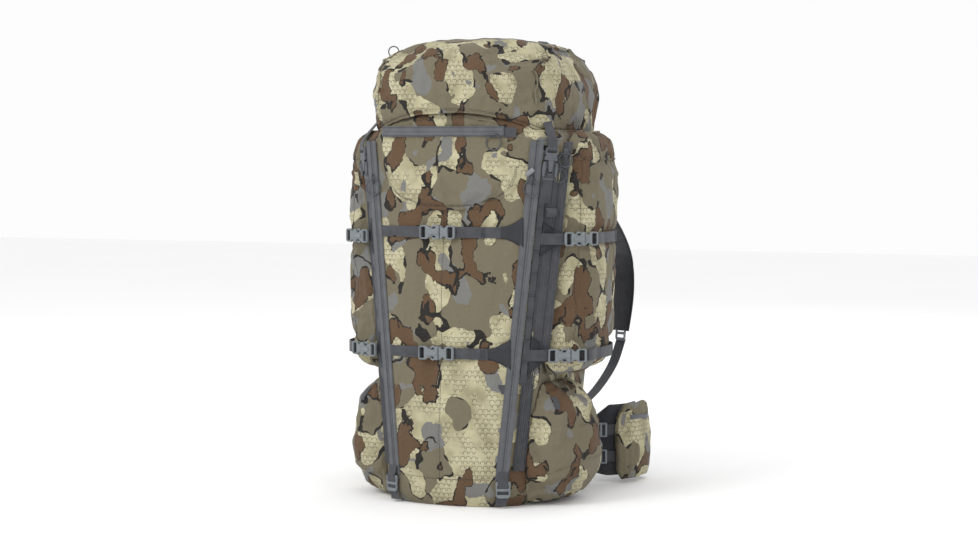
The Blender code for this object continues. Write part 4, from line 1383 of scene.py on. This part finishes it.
def make_front_straps():
    """The two straps over the front panel, with their buckles and reinforced ends."""
    for name, z, half, middle in FRONT_STRAPS:
        def at(x, lift, z=z):
            y = front_face(x, z)
            lean = Vector((2 * crown(z) * x / zip_half(z) ** 2, -1, 0)).normalized()
            return Vector((x, y, z)) + lean * lift
        lean = 2 * crown(z) * middle / zip_half(z) ** 2
        outward = Vector((lean, -1, 0)).normalized()
        along = Vector((1, lean, 0)).normalized()
        top = at(middle, HUG + WEB_THICKNESS)
        place = place_in(top + outward * 0.0012, along, outward.cross(along), outward)
        side_release(name, place, f"{name}_clip")
        strap, threads = Build(), Build()
        ends = zip_half(z) - 0.006
        strap.strip([at(x, 0.0023) for x in np.linspace(-ends, ends, 60)], (0, 0, 1), WEBBING)
        for start, stop in ((middle - 0.032, -half * 0.72), (middle + 0.030, middle + 0.088)):
            line = [at(x, 0.0038 + 0.0012 * (i < 2))
                    for i, x in enumerate(np.linspace(start, stop, 10))]
            doubled_strap(strap, threads, line, UP)
        piece(f"{name}_strap_webbing", strap, "webbing",
              stands_for=(f"{name}_strap",))
        piece(f"{name}_strap_stitching", threads, "thread")
        patch = Build()
        rows, prints = [], []
        for s, high in flared(z, 0.0, 0.040, 0.029, 0.0105):
            x = zip_half(z) - 0.007 - s
            rows.append([at(x, 0.0032 + 0.0012 * (abs(v) < 0.9)) + Vector((0, 0, v * (high - z)))
                         for v in ACROSS_STEPS])
            prints.append([(s, v * (high - z)) for v in ACROSS_STEPS])
        patch.rows(rows, prints)
        made = piece(f"{name}_strap_patch", patch, "patch")
        walled(made, 0.0012)


def make_side_straps():
    """The straps round the side pockets: a flared root patch, a buckle and a strap end."""
    for row, z, turns in SIDE_STRAPS:
        for name, side in SIDES:
            plan, middle, along = side_strap_line(z, turns[name])
            along3 = Vector((along.x * side, along.y, 0))
            outward = Vector((along.y * side, -along.x, 0))
            centre = Vector((middle.x * side, middle.y, z)) + outward * (WEB_THICKNESS / 2 + 0.0012)
            place = place_in(centre, along3, outward.cross(along3), outward)
            side_release(f"{name}_{row}", place, f"{name}_{row}_clip")
            strap, threads = Build(), Build()
            path = mirrored([(p.x, p.y, z) for p in plan], side)
            path = curve_through(path, 5)
            strap.strip(path, (0, 0, 1), WEBBING)
            tail = [p for p in path if (p - centre).dot(along3) > 0.036]
            if len(tail) > 6:
                shift = [(b - a).cross(UP).normalized() * side * 0.0017
                         for a, b in zip(tail, tail[1:])]
                line = [p - s if (s.x * side) < 0 else p + s for p, s in zip(tail, shift)]
                doubled_strap(strap, threads, line[:max(4, len(line) // 2)], UP)
            piece(f"{name}_{row}_strap_webbing", strap, "webbing",
                  stands_for=(f"{name}_{row}_side_strap",))
            patch = Build()
            rows, prints = [], []
            far = 0.030 if turns[name] is None else 0.072
            start = 0.012 if turns[name] is None else 0.026
            tall = 0.036 if turns[name] is None or row == "lower" else 0.032
            for s, high in flared(z, start, far, tall, 0.0110):
                rows.append(mirrored([corner_point(z + v * (high - z), s, 0.0062) for v in
                                      ACROSS_STEPS], side))
                prints.append([(s, v * (high - z)) for v in ACROSS_STEPS])
            patch.rows(rows, prints)
            made = piece(f"{name}_{row}_strap_patch", patch, "patch")
            walled(made, 0.0014, 0.0)
            for s in (start + 0.0015, start + 0.0045):
                line = [corner_point(z + v * tall * 0.9, s, 0.0072) for v in ACROSS_STEPS]
                threads.stitches(mirrored(line, side), Vector((side, -1, 0)))
            piece(f"{name}_{row}_strap_stitching", threads, "thread")


def make_lid_buckles():
    """The two upright buckles at the front corners, with webbing above and below."""
    foot_z = 0.596
    for name, side in SIDES:
        up = Vector((ZIP_SPREAD * side, ZIP_LEAN, 1)).normalized()
        outward = Vector((side, -1, 0)).normalized()
        outward = (outward - up * outward.dot(up)).normalized()
        x = (zip_half(foot_z) + wall_x(foot_z) + 0.003) / 2
        foot = Vector((x * side, front_y(foot_z) + CORNER / 2, foot_z)) + outward * 0.002
        place = place_in(foot, up, outward.cross(up), outward)
        socket = Build()
        outline = rounded(both_ways([(-0.004, 0.0105), (0.002, 0.0128), (0.026, 0.0128),
                                     (0.030, 0.0110)]), 0.0028)
        window = rounded([(0.008, 0.0070), (0.008, -0.0070), (0.022, 0.0)], 0.0014)
        socket.plate([outline, window], 0.0032, 0.0012, place)
        for edge in (-1, 1):
            socket.tube([place(a, 0.0122 * edge, 0.0058) for a in (0.002, 0.014, 0.027)],
                        [0.0024, 0.0034, 0.0026], 8)
        piece(f"{name}_lid_socket_body", socket, "dark_plastic",
              stands_for=(f"{name}_lid_socket",))
        clip = Build()
        outline = rounded(both_ways([(0.0305, 0.0125), (0.036, 0.0125), (0.0395, 0.0100),
                                     (0.044, 0.0125), (0.0530, 0.0115), (0.0546, 0.0080)]), 0.0024)
        slot = rounded(box_outline(0.0450, 0.0515, 0.0092), 0.0016)
        clip.plate([outline, slot], 0.0070, 0.0018, raised(place, 0.0014), waist=0.15)
        tongue = rounded(both_ways([(0.0105, 0.0030), (0.0310, 0.0058)]), 0.0020)
        clip.plate([tongue], 0.0034, 0.0012, raised(place, 0.0042))
        piece(f"{name}_lid_clip_body", clip, "dark_plastic", "lid",
              stands_for=(f"{name}_lid_clip",))
        below = Build()
        side_axis = place(0, 1, 0) - place(0, 0, 0)
        below.strip(along_place(place, (-0.046, 0.0010), (-0.020, 0.0012), (-0.004, 0.0016),
                                (0.004, 0.0040)), side_axis, WEBBING * 0.95)
        piece(f"{name}_lid_buckle_webbing", below, "webbing")
        above = Build()
        above.strip(along_place(place, (0.0480, 0.0050), (0.0560, 0.0074), (0.0640, 0.0062),
                                (0.0720, 0.0010), (0.0860, -0.0130), (0.1020, -0.0300)),
                    side_axis, WEBBING * 0.92)
        piece(f"{name}_lid_webbing", above, "webbing", "lid")


def make_bottom_straps():
    """Ladder locks at the foot of the front panel, on short straps."""
    turn = math.radians(22)
    for name, side in SIDES:
        across = Vector((math.cos(turn), math.sin(turn) * side, 0))
        outward = Vector((across.y, -across.x, 0))
        strap = Build()
        heights = np.linspace(0.004, 0.066, 12)
        path = [Vector(((zip_half(z) + 0.003) * side, front_y(z), z)) + outward * 0.00225
                for z in heights]
        strap.strip(path, across, WEBBING)
        bar = Vector(((zip_half(0.046) + 0.003) * side, front_y(0.046), 0.046))
        strap.strip([bar + outward * o + Vector((0, 0, z)) for o, z in
                     ((0.0030, 0.020), (0.0060, 0.010), (0.0098, 0.0012), (0.0074, -0.0080),
                      (0.0042, -0.020), (0.0034, -0.034))], across, WEBBING * 0.94)
        piece(f"{name}_bottom_strap_webbing", strap, "webbing",
              stands_for=(f"{name}_bottom_strap",))
        hinge = bar + outward * 0.0062
        place = place_in(hinge - outward * 0.0024, (0, 0, 1), across, outward)
        lock = Build()
        outline = rounded([(0.0030, 0.0140), (0.0030, -0.0140), (-0.0230, -0.0132),
                           (-0.0275, -0.0100), (-0.0275, 0.0100), (-0.0230, 0.0132)], 0.0030)
        slots = slots_at((-0.0098, -0.0208), 0.0058, 0.0102, 0.0014)
        lock.plate([outline] + slots, 0.0048, 0.0016, place)
        piece(f"{name}_ladder_lock", lock, "plastic", f"{name}_lock",
              stands_for=(f"{name}_bottom_ladder_lock",))


def make_pulls():
    """Round wire rings and their sliders on the three front zips."""
    def slider(name, eye, along, outward, slider_body, ring_body, nodes, pivot, ring_down,
               ring_side):
        """A zip slider with its bridge, and the ring that turns in the bridge."""
        across = along.cross(outward)
        place = place_in(eye, along, across, outward)
        body = Build()
        outline = rounded(both_ways([(-0.0085, 0.0034), (-0.0040, 0.0046), (0.0050, 0.0046),
                                     (0.0085, 0.0030)]), 0.0018)
        body.plate([outline], 0.0026, 0.0009, place)
        bridge = along_place(place, (0.0070, 0.0020), (0.0095, 0.0050), (0.0070, 0.0086),
                             (0.0, 0.0094), (-0.0050, 0.0078), (-0.0066, 0.0040),
                             (-0.0062, 0.0022))
        body.tube(curve_through(bridge, 4), 0.0013, 8)
        piece(f"{name}_slider_body", body, "metal", slider_body,
              stands_for=(nodes[0],))
        ring = Build()
        centre = pivot - ring_down * RING_RADIUS
        path = [centre + (ring_down * math.cos(a) + ring_side * math.sin(a)) * RING_RADIUS
                for a in np.linspace(0, 2 * math.pi, 49)[:-1]]
        ring.tube(path, RING_WIRE * 0.86, 10, endless=True)
        piece(f"{name}_ring_wire", ring, "metal", ring_body, stands_for=(nodes[1],))

    for name, side in SIDES:
        z = 0.590
        along = Vector((ZIP_SPREAD * side, ZIP_LEAN, 1)).normalized()
        outward = Vector((0, -1, ZIP_LEAN)).normalized()
        eye = Vector((zip_half(z) * side, front_y(z) - 0.0012, z))
        pivot = eye + outward * RING_N
        slider(f"{name}_front_zip", eye, along, outward, f"{name}_slider", f"{name}_ring",
               (f"{name}_front_zip_slider", f"{name}_front_zip_ring"), pivot, along,
               along.cross(outward))
    eye_y = front_face(0.0, POCKET_ZIP_Z) - SEAM_GAP - pocket_depth(POCKET_ZIP_Z) - 0.0008
    eye = Vector((0.084, eye_y, POCKET_ZIP_Z))
    pivot = eye + Vector((0.0025, -(RING_N + 0.0006), 0))
    slider("pocket_zip", eye, Vector((1, 0, 0)), Vector((0, -1, 0)), "pocket_slider", "pocket_ring",
           ("pocket_zip_slider", "pocket_zip_ring"), pivot, UP, Vector((1, 0, 0)))


def hung_ring(build, top, outward, down, radius=0.0125, wire=0.0012):
    """A wire ring that hangs from its top, flat against what is behind it."""
    side = outward.cross(down).normalized()
    build.tube([top + down * radius + (side * math.sin(a) - down * math.cos(a)) * radius
                for a in np.linspace(0, 2 * math.pi, 41)[:-1]], wire, 10, endless=True)


def make_small_parts(lid_tree):
    """Rings of the side zips and the lid, a pull tube, a rolled strap end and a sewn tab."""
    down = -UP
    for name, side in SIDES:
        rings, sliders = Build(), Build()
        for s, z in ((0.060, 0.640), (0.048, 0.612)) if side > 0 else ((0.034, 0.630),):
            foot, above = (mirrored([corner_point(z, s, lift)], side)[0] for lift in (0.004, 0.010))
            outward = (above - foot).normalized()
            place = place_in(foot, -down, outward.cross(-down), outward)
            outline = rounded(both_ways([(-0.0080, 0.0030), (-0.0030, 0.0044), (0.0050, 0.0044),
                                         (0.0080, 0.0028)]), 0.0016)
            sliders.plate([outline], 0.0026, 0.0008, place)
            sliders.tube(along_place(place, (0.0060, 0.0020), (0.0, 0.0062), (-0.0060, 0.0020)),
                         0.0012)
            hung_ring(rings, foot + outward * 0.0048, outward, down)
        piece(f"{name}_side_zip_sliders", sliders, "metal")
        piece(f"{name}_side_zip_rings", rings, "metal")

    pull = Build()
    middle = Vector((zip_half(0.604) - 0.004, front_y(0.604) - 0.010, 0.606))
    lean = Vector((0.75, 0.15, 0.62)).normalized()
    pull.tube([middle + lean * a for a in (-0.0085, -0.0080, 0.0080, 0.0085)],
              [0.0034, 0.0042, 0.0042, 0.0034], 14)
    piece("pull_tube", pull, "light_tape", "right_slider")

    roll = Build()
    centre = corner_point(0.534, 0.036, 0.0100)
    out = (corner_point(0.534, 0.036, 0.02) - corner_point(0.534, 0.036, 0.0)).normalized()
    turns = [centre + (UP * math.cos(a) + out * math.sin(a)) * (0.0016 + 0.00040 * a)
             for a in np.linspace(0, 5.5 * math.pi, 66)]
    roll.strip(turns, out.cross(UP), WEBBING * 0.95, 0.0013)
    piece("rolled_strap_end", roll, "webbing")

    tab = Build()
    x, z = zip_half(0.215) - 0.012, 0.215
    tab.strip([Vector((x + a, front_face(x + a, z) - lift, z))
               for a, lift in ((-0.012, 0.0010), (-0.010, 0.0022), (0.0, 0.0026), (0.012, 0.0020))],
              UP, 0.017, 0.0014)
    piece("front_tab", tab, "webbing")

    spot, normal = drawn_on(lid_tree, [Vector((-0.158, -0.060, 0.826))], 0.0012)
    spot, normal = spot[0], normal[0]
    along = Vector((0, 1, 0))
    pull = Build()
    place = place_in(spot, along, normal.cross(along), normal)
    pull.plate([rounded(both_ways([(-0.0085, 0.0034), (0.0085, 0.0034)]), 0.0018)], 0.0030, 0.0009,
               raised(place, 0.0016))
    hung_ring(pull, place(0, 0, 0.0030), along, (normal - Vector((0.35, 0, 0))).normalized(),
              0.0100)
    piece("lid_zip_pull", pull, "metal", "lid")
    line = [Vector((x, y, 0.860)) for x, y in ((0.050, 0.060), (0.075, 0.055), (0.100, 0.048),
                                               (0.120, 0.040))]
    places, normals = drawn_on(lid_tree, line, 0.0016)
    tape = Build()
    tape.strip(curve_through(places, 4), Vector((0.2, 1, 0)), 0.012, 0.0014)
    piece("lid_rear_tab", tape, "webbing", "lid")
    catch = Build()
    normal = normals[2]
    forward = (places[3] - places[1]).normalized()
    place = place_in(places[2], forward, normal.cross(forward).normalized(), normal)
    catch.plate([rounded(both_ways([(-0.011, 0.0080), (0.011, 0.0080)]), 0.0024),
                 rounded(box_outline(-0.0015, 0.0075, 0.0052), 0.0014)], 0.0042, 0.0014,
                raised(place, -0.0008))
    piece("lid_rear_catch", catch, "dark_plastic", "lid")


# ---------------------------------------------------------------- harness and hip belt
def shoulder_line(per_span=5):
    """The shoulder strap's middle line in Y and Z."""
    return curve_through(((0, 0.127, 0.556), (0, 0.150, 0.541), (0, 0.182, 0.521),
                          (0, 0.222, 0.500), (0, 0.264, 0.476), (0, 0.302, 0.450),
                          (0, 0.330, 0.424), (0, 0.343, 0.400), (0, 0.345, 0.372),
                          (0, 0.345, 0.344), (0, 0.343, 0.316), (0, 0.336, 0.280)), per_span)


def quilted_band(build, path, acrosses, widths, thickness, channels=3, cells=0.0):
    """A padded band: crowned between sewn channels that run along it."""
    steps = 24
    rows, prints, travelled = [], [], 0.0
    for i, point in enumerate(path):
        behind, ahead = path[max(i - 1, 0)], path[min(i + 1, len(path) - 1)]
        travelled += (point - behind).length
        side = Vector(acrosses[i]).normalized()
        normal = (ahead - behind).cross(side).normalized()
        half = widths[i] / 2
        end = min(1.0, (i + 0.35) / 3, (len(path) - 1 - i + 0.35) / 3) ** 0.5
        pulled = 1 - 0.28 * abs(math.cos(math.pi * travelled / cells)) ** 24 if cells else 1.0
        row, spots = [], []
        for face in (1, -1):
            for j in range(steps):
                s = -face + 2 * face * j / steps
                edge = (1 - abs(s) ** 3.2) ** 0.55
                sewn = 1 - 0.30 * abs(math.cos(math.pi * (s + 1) / 2 * channels)) ** 14
                rise = thickness / 2 * (0.16 + 0.84 * edge * sewn * pulled) * end
                row.append(point + side * (s * half * (0.92 + 0.08 * end)) + normal * face * rise)
                spots.append((s * half, travelled))
        rows.append(row)
        prints.append(spots)
    build.rows(rows, prints, ring=True, caps=True)


def make_shoulder_harness():
    """Padded shoulder straps with bound edges, and the webbing that carries them."""
    line = shoulder_line()
    reach = len(line) - 1
    turns = [STRAP_TURN * min(1.0, max(0.0, (i / reach - 0.25) / 0.35)) for i in range(len(line))]
    for name, side in SIDES:
        path = [Vector((STRAP_X * side, p.y, p.z)) for p in line]
        acrosses = [Vector((math.cos(t), -math.sin(t) * side, 0)) for t in turns]
        widths = [0.064 - 0.022 * max(0.0, (i / reach - 0.72) / 0.28) ** 1.5
                  for i in range(len(line))]
        pad = Build()
        quilted_band(pad, path, acrosses, widths, 0.0130, 1, 0.055)
        made = piece(f"{name}_shoulder_pad", pad, "ribbed", "harness", sharp=60,
                     stands_for=(f"{name}_shoulder_strap",))
        trim = Build()
        for edge in (-1, 1):
            trim.tube([p + a * edge * w / 2 for p, a, w in zip(path, acrosses, widths)], 0.0020, 8)
        normals = [(path[i] - path[i - 1]).cross(acrosses[i]).normalized()
                   for i in range(3, len(path) - 1)]
        trim.strip([p - n * 0.0074 for p, n in zip(path[3:-1], normals)], acrosses[3:-1], 0.020,
                   0.0014)
        piece(f"{name}_shoulder_trim", trim, "dark_webbing", "harness")

        hang = curve_through(((STRAP_X, 0.3385, 0.2620), (0.150, 0.290, 0.215),
                              (0.145, 0.210, 0.175), (0.140, 0.1235, 0.150)), 8)
        webbing = Build()
        webbing.strip(mirrored(hang, side), (1, 0, 0), WEBBING)
        made = piece(f"{name}_strap_webbing_low", webbing, "webbing", None,
                     stands_for=(f"{name}_lower_webbing",))
        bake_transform(made)
        lift = curve_through(((0.132, 0.1185, 0.648), (0.140, 0.170, 0.590),
                              (0.150, 0.2420, 0.506)), 8)
        webbing = Build()
        webbing.strip(mirrored(lift, side), (1, 0, 0), WEBBING)
        made = piece(f"{name}_lift_webbing", webbing, "webbing", None,
                     stands_for=(f"{name}_load_lifter",))
        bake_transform(made)

        lock = Build()
        down = (path[-1] - path[-3]).normalized()
        normal = down.cross(acrosses[-1]).normalized()
        place = place_in(path[-1] - normal * 0.0024 - down * 0.006, -down, acrosses[-1], normal)
        outline = rounded([(0.006, 0.0140), (0.006, -0.0140), (-0.022, -0.0135), (-0.027, -0.0100),
                           (-0.027, 0.0100), (-0.022, 0.0135)], 0.0030)
        slots = slots_at((-0.0085, -0.0200), 0.0060, 0.0102, 0.0014)
        lock.plate([outline] + slots, 0.0048, 0.0016, place)
        piece(f"{name}_strap_ladder_lock", lock, "plastic", "harness")


def make_sternum_strap():
    """The chest strap between the shoulder straps, with its small buckle."""
    face = 0.012 / 2 + HUG + WEB_THICKNESS / 2
    right = [Vector((STRAP_X + math.cos(STRAP_TURN) * a + math.sin(STRAP_TURN) * face,
                     0.345 - math.sin(STRAP_TURN) * a + math.cos(STRAP_TURN) * face,
                     STERNUM_Z)) for a in (0.020, 0.0, -0.034)]
    middle = [Vector((x, right[-1].y + out, STERNUM_Z))
              for x, out in ((0.090, 0.008), (0.040, 0.010))]
    half = right + middle
    path = half + [Vector((-p.x, p.y, p.z)) for p in reversed(half)]
    strap = Build()
    strap.strip(curve_through(path, 6), (0, 0, 1), WEBBING * 0.9)
    piece("sternum_webbing", strap, "webbing", "sternum", stands_for=("sternum_strap",))
    centre = Vector((0, half[-1].y + 0.0045, STERNUM_Z))
    place = place_in(centre - Vector((0, 0.0035, 0)), (1, 0, 0), (0, 0, 1), (0, 1, 0))
    buckle = Build()
    outline = rounded(both_ways([(-0.024, 0.0080), (-0.014, 0.0105), (-0.004, 0.0078),
                                 (0.002, 0.0078), (0.012, 0.0105), (0.024, 0.0080)]), 0.0022)
    slots = slots_at((-0.0205, 0.0155), 0.0050, 0.0075, 0.0012)
    buckle.plate([outline] + slots, 0.0070, 0.0018, place, waist=0.25)
    piece("sternum_buckle", buckle, "plastic", "sternum")
    for name, side in SIDES:
        spot = Vector((right[1].x * side, right[1].y, STERNUM_Z))
        out = Vector((math.sin(STRAP_TURN) * side, math.cos(STRAP_TURN), 0))
        across = Vector((math.cos(STRAP_TURN) * side, -math.sin(STRAP_TURN), 0))
        place = place_in(spot + out * 0.0008, across, (0, 0, 1), out)
        keeper = Build()
        keeper.plate([rounded(box_outline(-0.013, 0.013, 0.0115), 0.003),
                      rounded(box_outline(-0.0075, 0.0075, 0.0035), 0.001)], 0.0032, 0.0012, place)
        piece(f"{name}_sternum_keeper", keeper, "black_plastic", "sternum")


def make_hip_belt():
    """Padded hip wings with webbing along them and tri-glides."""
    line = hip_line()
    fine = curve_through(line, 3)
    for name, side in SIDES:
        middles, heights = [], []
        for p in fine:
            low = lerp(0.022, 0.014, (p.x - 0.155) / 0.03)
            high = lerp(0.126, 0.152, (p.x - 0.160) / 0.03)
            taper = lerp(0.0, 0.030, (p.y - 0.230) / 0.07)
            middles.append(Vector((p.x * side, p.y, (low + high) / 2)))
            heights.append(high - low - 2 * taper)
        wing = Build()
        quilted_band(wing, middles, [UP] * len(middles), heights, 0.0125, 4)
        made = piece(f"{name}_hip_pad", wing, "ribbed", f"{name}_hip", sharp=60,
                     stands_for=(f"{name}_hip_wing",))
        straps = Build()
        plan = moved_out([(p.x, p.y) for p in line], 0.0078)
        for z in HIP_STRAPS_Z:
            straps.strip(curve_through(mirrored([(x, y, z) for x, y in plan[2:9]], side), 3),
                         (0, 0, 1), 0.020, 0.0016)
        straps.strip(curve_through(mirrored([(x, y, HIP_TAIL_Z) for x, y in plan[15:]], side), 3),
                     (0, 0, 1), 0.034, 0.0018)
        piece(f"{name}_hip_webbing", straps, "webbing", f"{name}_hip")
        for z in HIP_STRAPS_Z:
            x, y = plan[5]
            ahead = plan[6]
            along = Vector(((ahead[0] - x) * side, ahead[1] - y, 0)).normalized()
            outward = Vector((along.y * side, -along.x * side, 0))
            if outward.x * side < 0:
                outward = -outward
            place = place_in(Vector((x * side, y, z)) + outward * 0.0008, along, (0, 0, 1), outward)
            glide = Build()
            slots = slots_at((-0.0075, 0.0025), 0.005, 0.0105, 0.0012)
            glide.plate([rounded(box_outline(-0.0125, 0.0125, 0.0140), 0.0030)] + slots, 0.0042,
                        0.0014, place)
            piece(f"{name}_hip_tri_glide_{round(z * 1000)}", glide, "plastic",
                  f"{name}_hip")
        last, before = Vector((line[-1].x, line[-1].y)), Vector((line[-3].x, line[-3].y))
        along = (last - before).normalized()
        centre = last + along * 0.034
        place = place_in((centre.x * side, centre.y, HIP_TAIL_Z), (along.x * side, along.y, 0),
                         UP, (along.y * side, -along.x, 0))
        half = Build()
        far_end = ([(0.012, 0.0205), (0.018, 0.0150), (0.029, 0.0180)] if side < 0 else
                   [(0.004, 0.0205), (0.010, 0.0165), (0.029, 0.0110)])
        outline = both_ways([(-0.029, 0.0150), (-0.020, 0.0205)] + far_end)
        slot = rounded(box_outline(-0.0245, -0.0175, 0.0155), 0.002)
        window = rounded(box_outline(-0.008, 0.008, 0.0060), 0.003)
        half.plate([rounded(outline, 0.004), slot, window], 0.0105, 0.0028,
                   raised(place, -0.00525), waist=0.25)
        part = "socket" if side < 0 else "clip"
        piece(f"hip_buckle_{part}_body", half, "plastic", f"{name}_hip",
              stands_for=(f"hip_buckle_{part}",))


def make_back_details():
    """The yoke on the back and the grab handle."""
    yoke = Build()
    rows, prints = [], []
    for z in np.linspace(0.500, 0.652, 20):
        half = lerp(0.118, 0.165, (z - 0.52) / 0.12)
        row, spots = [], []
        for x in np.linspace(-half, half, 33):
            rise = (1 - (x / half) ** 6) * min(1.0, (z - 0.499) / 0.008, (0.653 - z) / 0.008)
            row.append(Vector((x, REAR_Y + 0.0012 + 0.0045 * max(0.0, rise) ** 0.5, z)))
            spots.append((x, z))
        rows.append(row)
        prints.append(spots)
    yoke.rows(rows, prints)
    made = piece("harness_yoke", yoke, "ribbed", sharp=60)
    walled(made, 0.0012)
    handle = Build()
    hinge = Vector((0, REAR_Y + 0.006, 0.640))
    arc = np.linspace(0, math.pi, 21)
    path = [Vector((-0.045, 0, 0))] + [Vector((-0.045 * math.cos(a), 0.004 * math.sin(a),
                                              -0.020 - 0.030 * math.sin(a))) for a in arc]
    path.append(Vector((0.045, 0, 0)))
    handle.tube([hinge + p for p in path], 0.0050, 10)
    piece("grab_handle_loop", handle, "webbing", "grab_handle",
          stands_for=("grab_handle",))


# ---------------------------------------------------------------- floor, lights and camera
FLOOR_HALF, FLOOR_Z = 9.0, -0.0008
WORLD_STRENGTH = 0.98
LIGHT_TARGET = Vector((0, 0, 0.42))
# Name, place, width and power of each area light.
LIGHTS = (("key", (-1.6, -3.0, 2.9), 1.6, 60), ("fill", (3.2, -2.2, 1.8), 2.5, 14),
          ("rim", (0.6, 3.2, 2.6), 2.0, 22))
# The camera looks at a point of the pack's middle line from this direction and distance.
VIEW_AZIMUTH, VIEW_ELEVATION, VIEW_DISTANCE = math.radians(22), math.radians(3.5), 4.0
VIEW_TARGET = Vector((0, 0, 0.408))
LENS_MM, SENSOR_MM = 77.5, 36.0


def make_stage():
    """A pale floor and a soft studio light."""
    floor = bpy.data.meshes.new("floor")
    floor.from_pydata([(x * FLOOR_HALF, y * FLOOR_HALF, FLOOR_Z)
                       for x, y in ((-1, -1), (1, -1), (1, 1), (-1, 1))], [], [(0, 1, 2, 3)])
    paper = Finish("pale_floor", 0.9, specular=0.2)
    paper.bump((paper.noise(paper.place, 220, 2.0), 0.0002))
    floor.materials.append(paper.colour(paper.mix(paper.noise(paper.place, 1.5, 2.0),
                                                  srgb(247, 247, 247), srgb(250, 250, 250))))
    ground = bpy.data.objects.new("floor", floor)
    bpy.context.scene.collection.objects.link(ground)
    world = bpy.data.worlds.new("studio")
    world.use_nodes = True
    world.node_tree.nodes["Background"].inputs["Color"].default_value = (1.0, 1.0, 1.0, 1.0)
    world.node_tree.nodes["Background"].inputs["Strength"].default_value = WORLD_STRENGTH
    bpy.context.scene.world = world
    bpy.context.scene.view_settings.view_transform = "Standard"
    for name, spot, width, power in LIGHTS:
        light = bpy.data.lights.new(name, "AREA")
        light.size, light.energy = width, power
        lamp = bpy.data.objects.new(name, light)
        lamp.location = spot
        lamp.rotation_euler = (LIGHT_TARGET - Vector(spot)).to_track_quat("-Z", "Y").to_euler()
        bpy.context.scene.collection.objects.link(lamp)


def make_camera():
    """The camera of the main view, a little to the pack's right of its front."""
    level = math.cos(VIEW_ELEVATION)
    back = Vector((math.sin(VIEW_AZIMUTH) * level, -math.cos(VIEW_AZIMUTH) * level,
                   math.sin(VIEW_ELEVATION)))
    lens = bpy.data.cameras.new("camera")
    lens.lens, lens.sensor_width = LENS_MM, SENSOR_MM
    camera = bpy.data.objects.new("camera", lens)
    camera.location = VIEW_TARGET + back * VIEW_DISTANCE
    camera.rotation_euler = (-back).to_track_quat("-Z", "Y").to_euler()
    bpy.context.scene.collection.objects.link(camera)
    bpy.context.scene.camera = camera


# ---------------------------------------------------------------- everything
def main():
    make_camera()
    make_stage()
    queue_side_pockets()
    queue_lower_pockets()
    queue_front_pocket()
    queue_lid()
    queue_pads()
    queue_pouches()
    done = filled()
    make_bag()
    make_frame_sheet()
    make_front_zips()
    make_corner_bands()
    finish_side_pockets(done)
    finish_lower_pockets(done)
    finish_front_pocket(done)
    lid_tree = finish_lid(done)
    finish_pads(done)
    finish_pouches(done)
    make_front_straps()
    make_side_straps()
    make_lid_buckles()
    make_bottom_straps()
    make_pulls()
    make_small_parts(lid_tree)
    make_shoulder_harness()
    make_sternum_strap()
    make_hip_belt()
    make_back_details()


main()
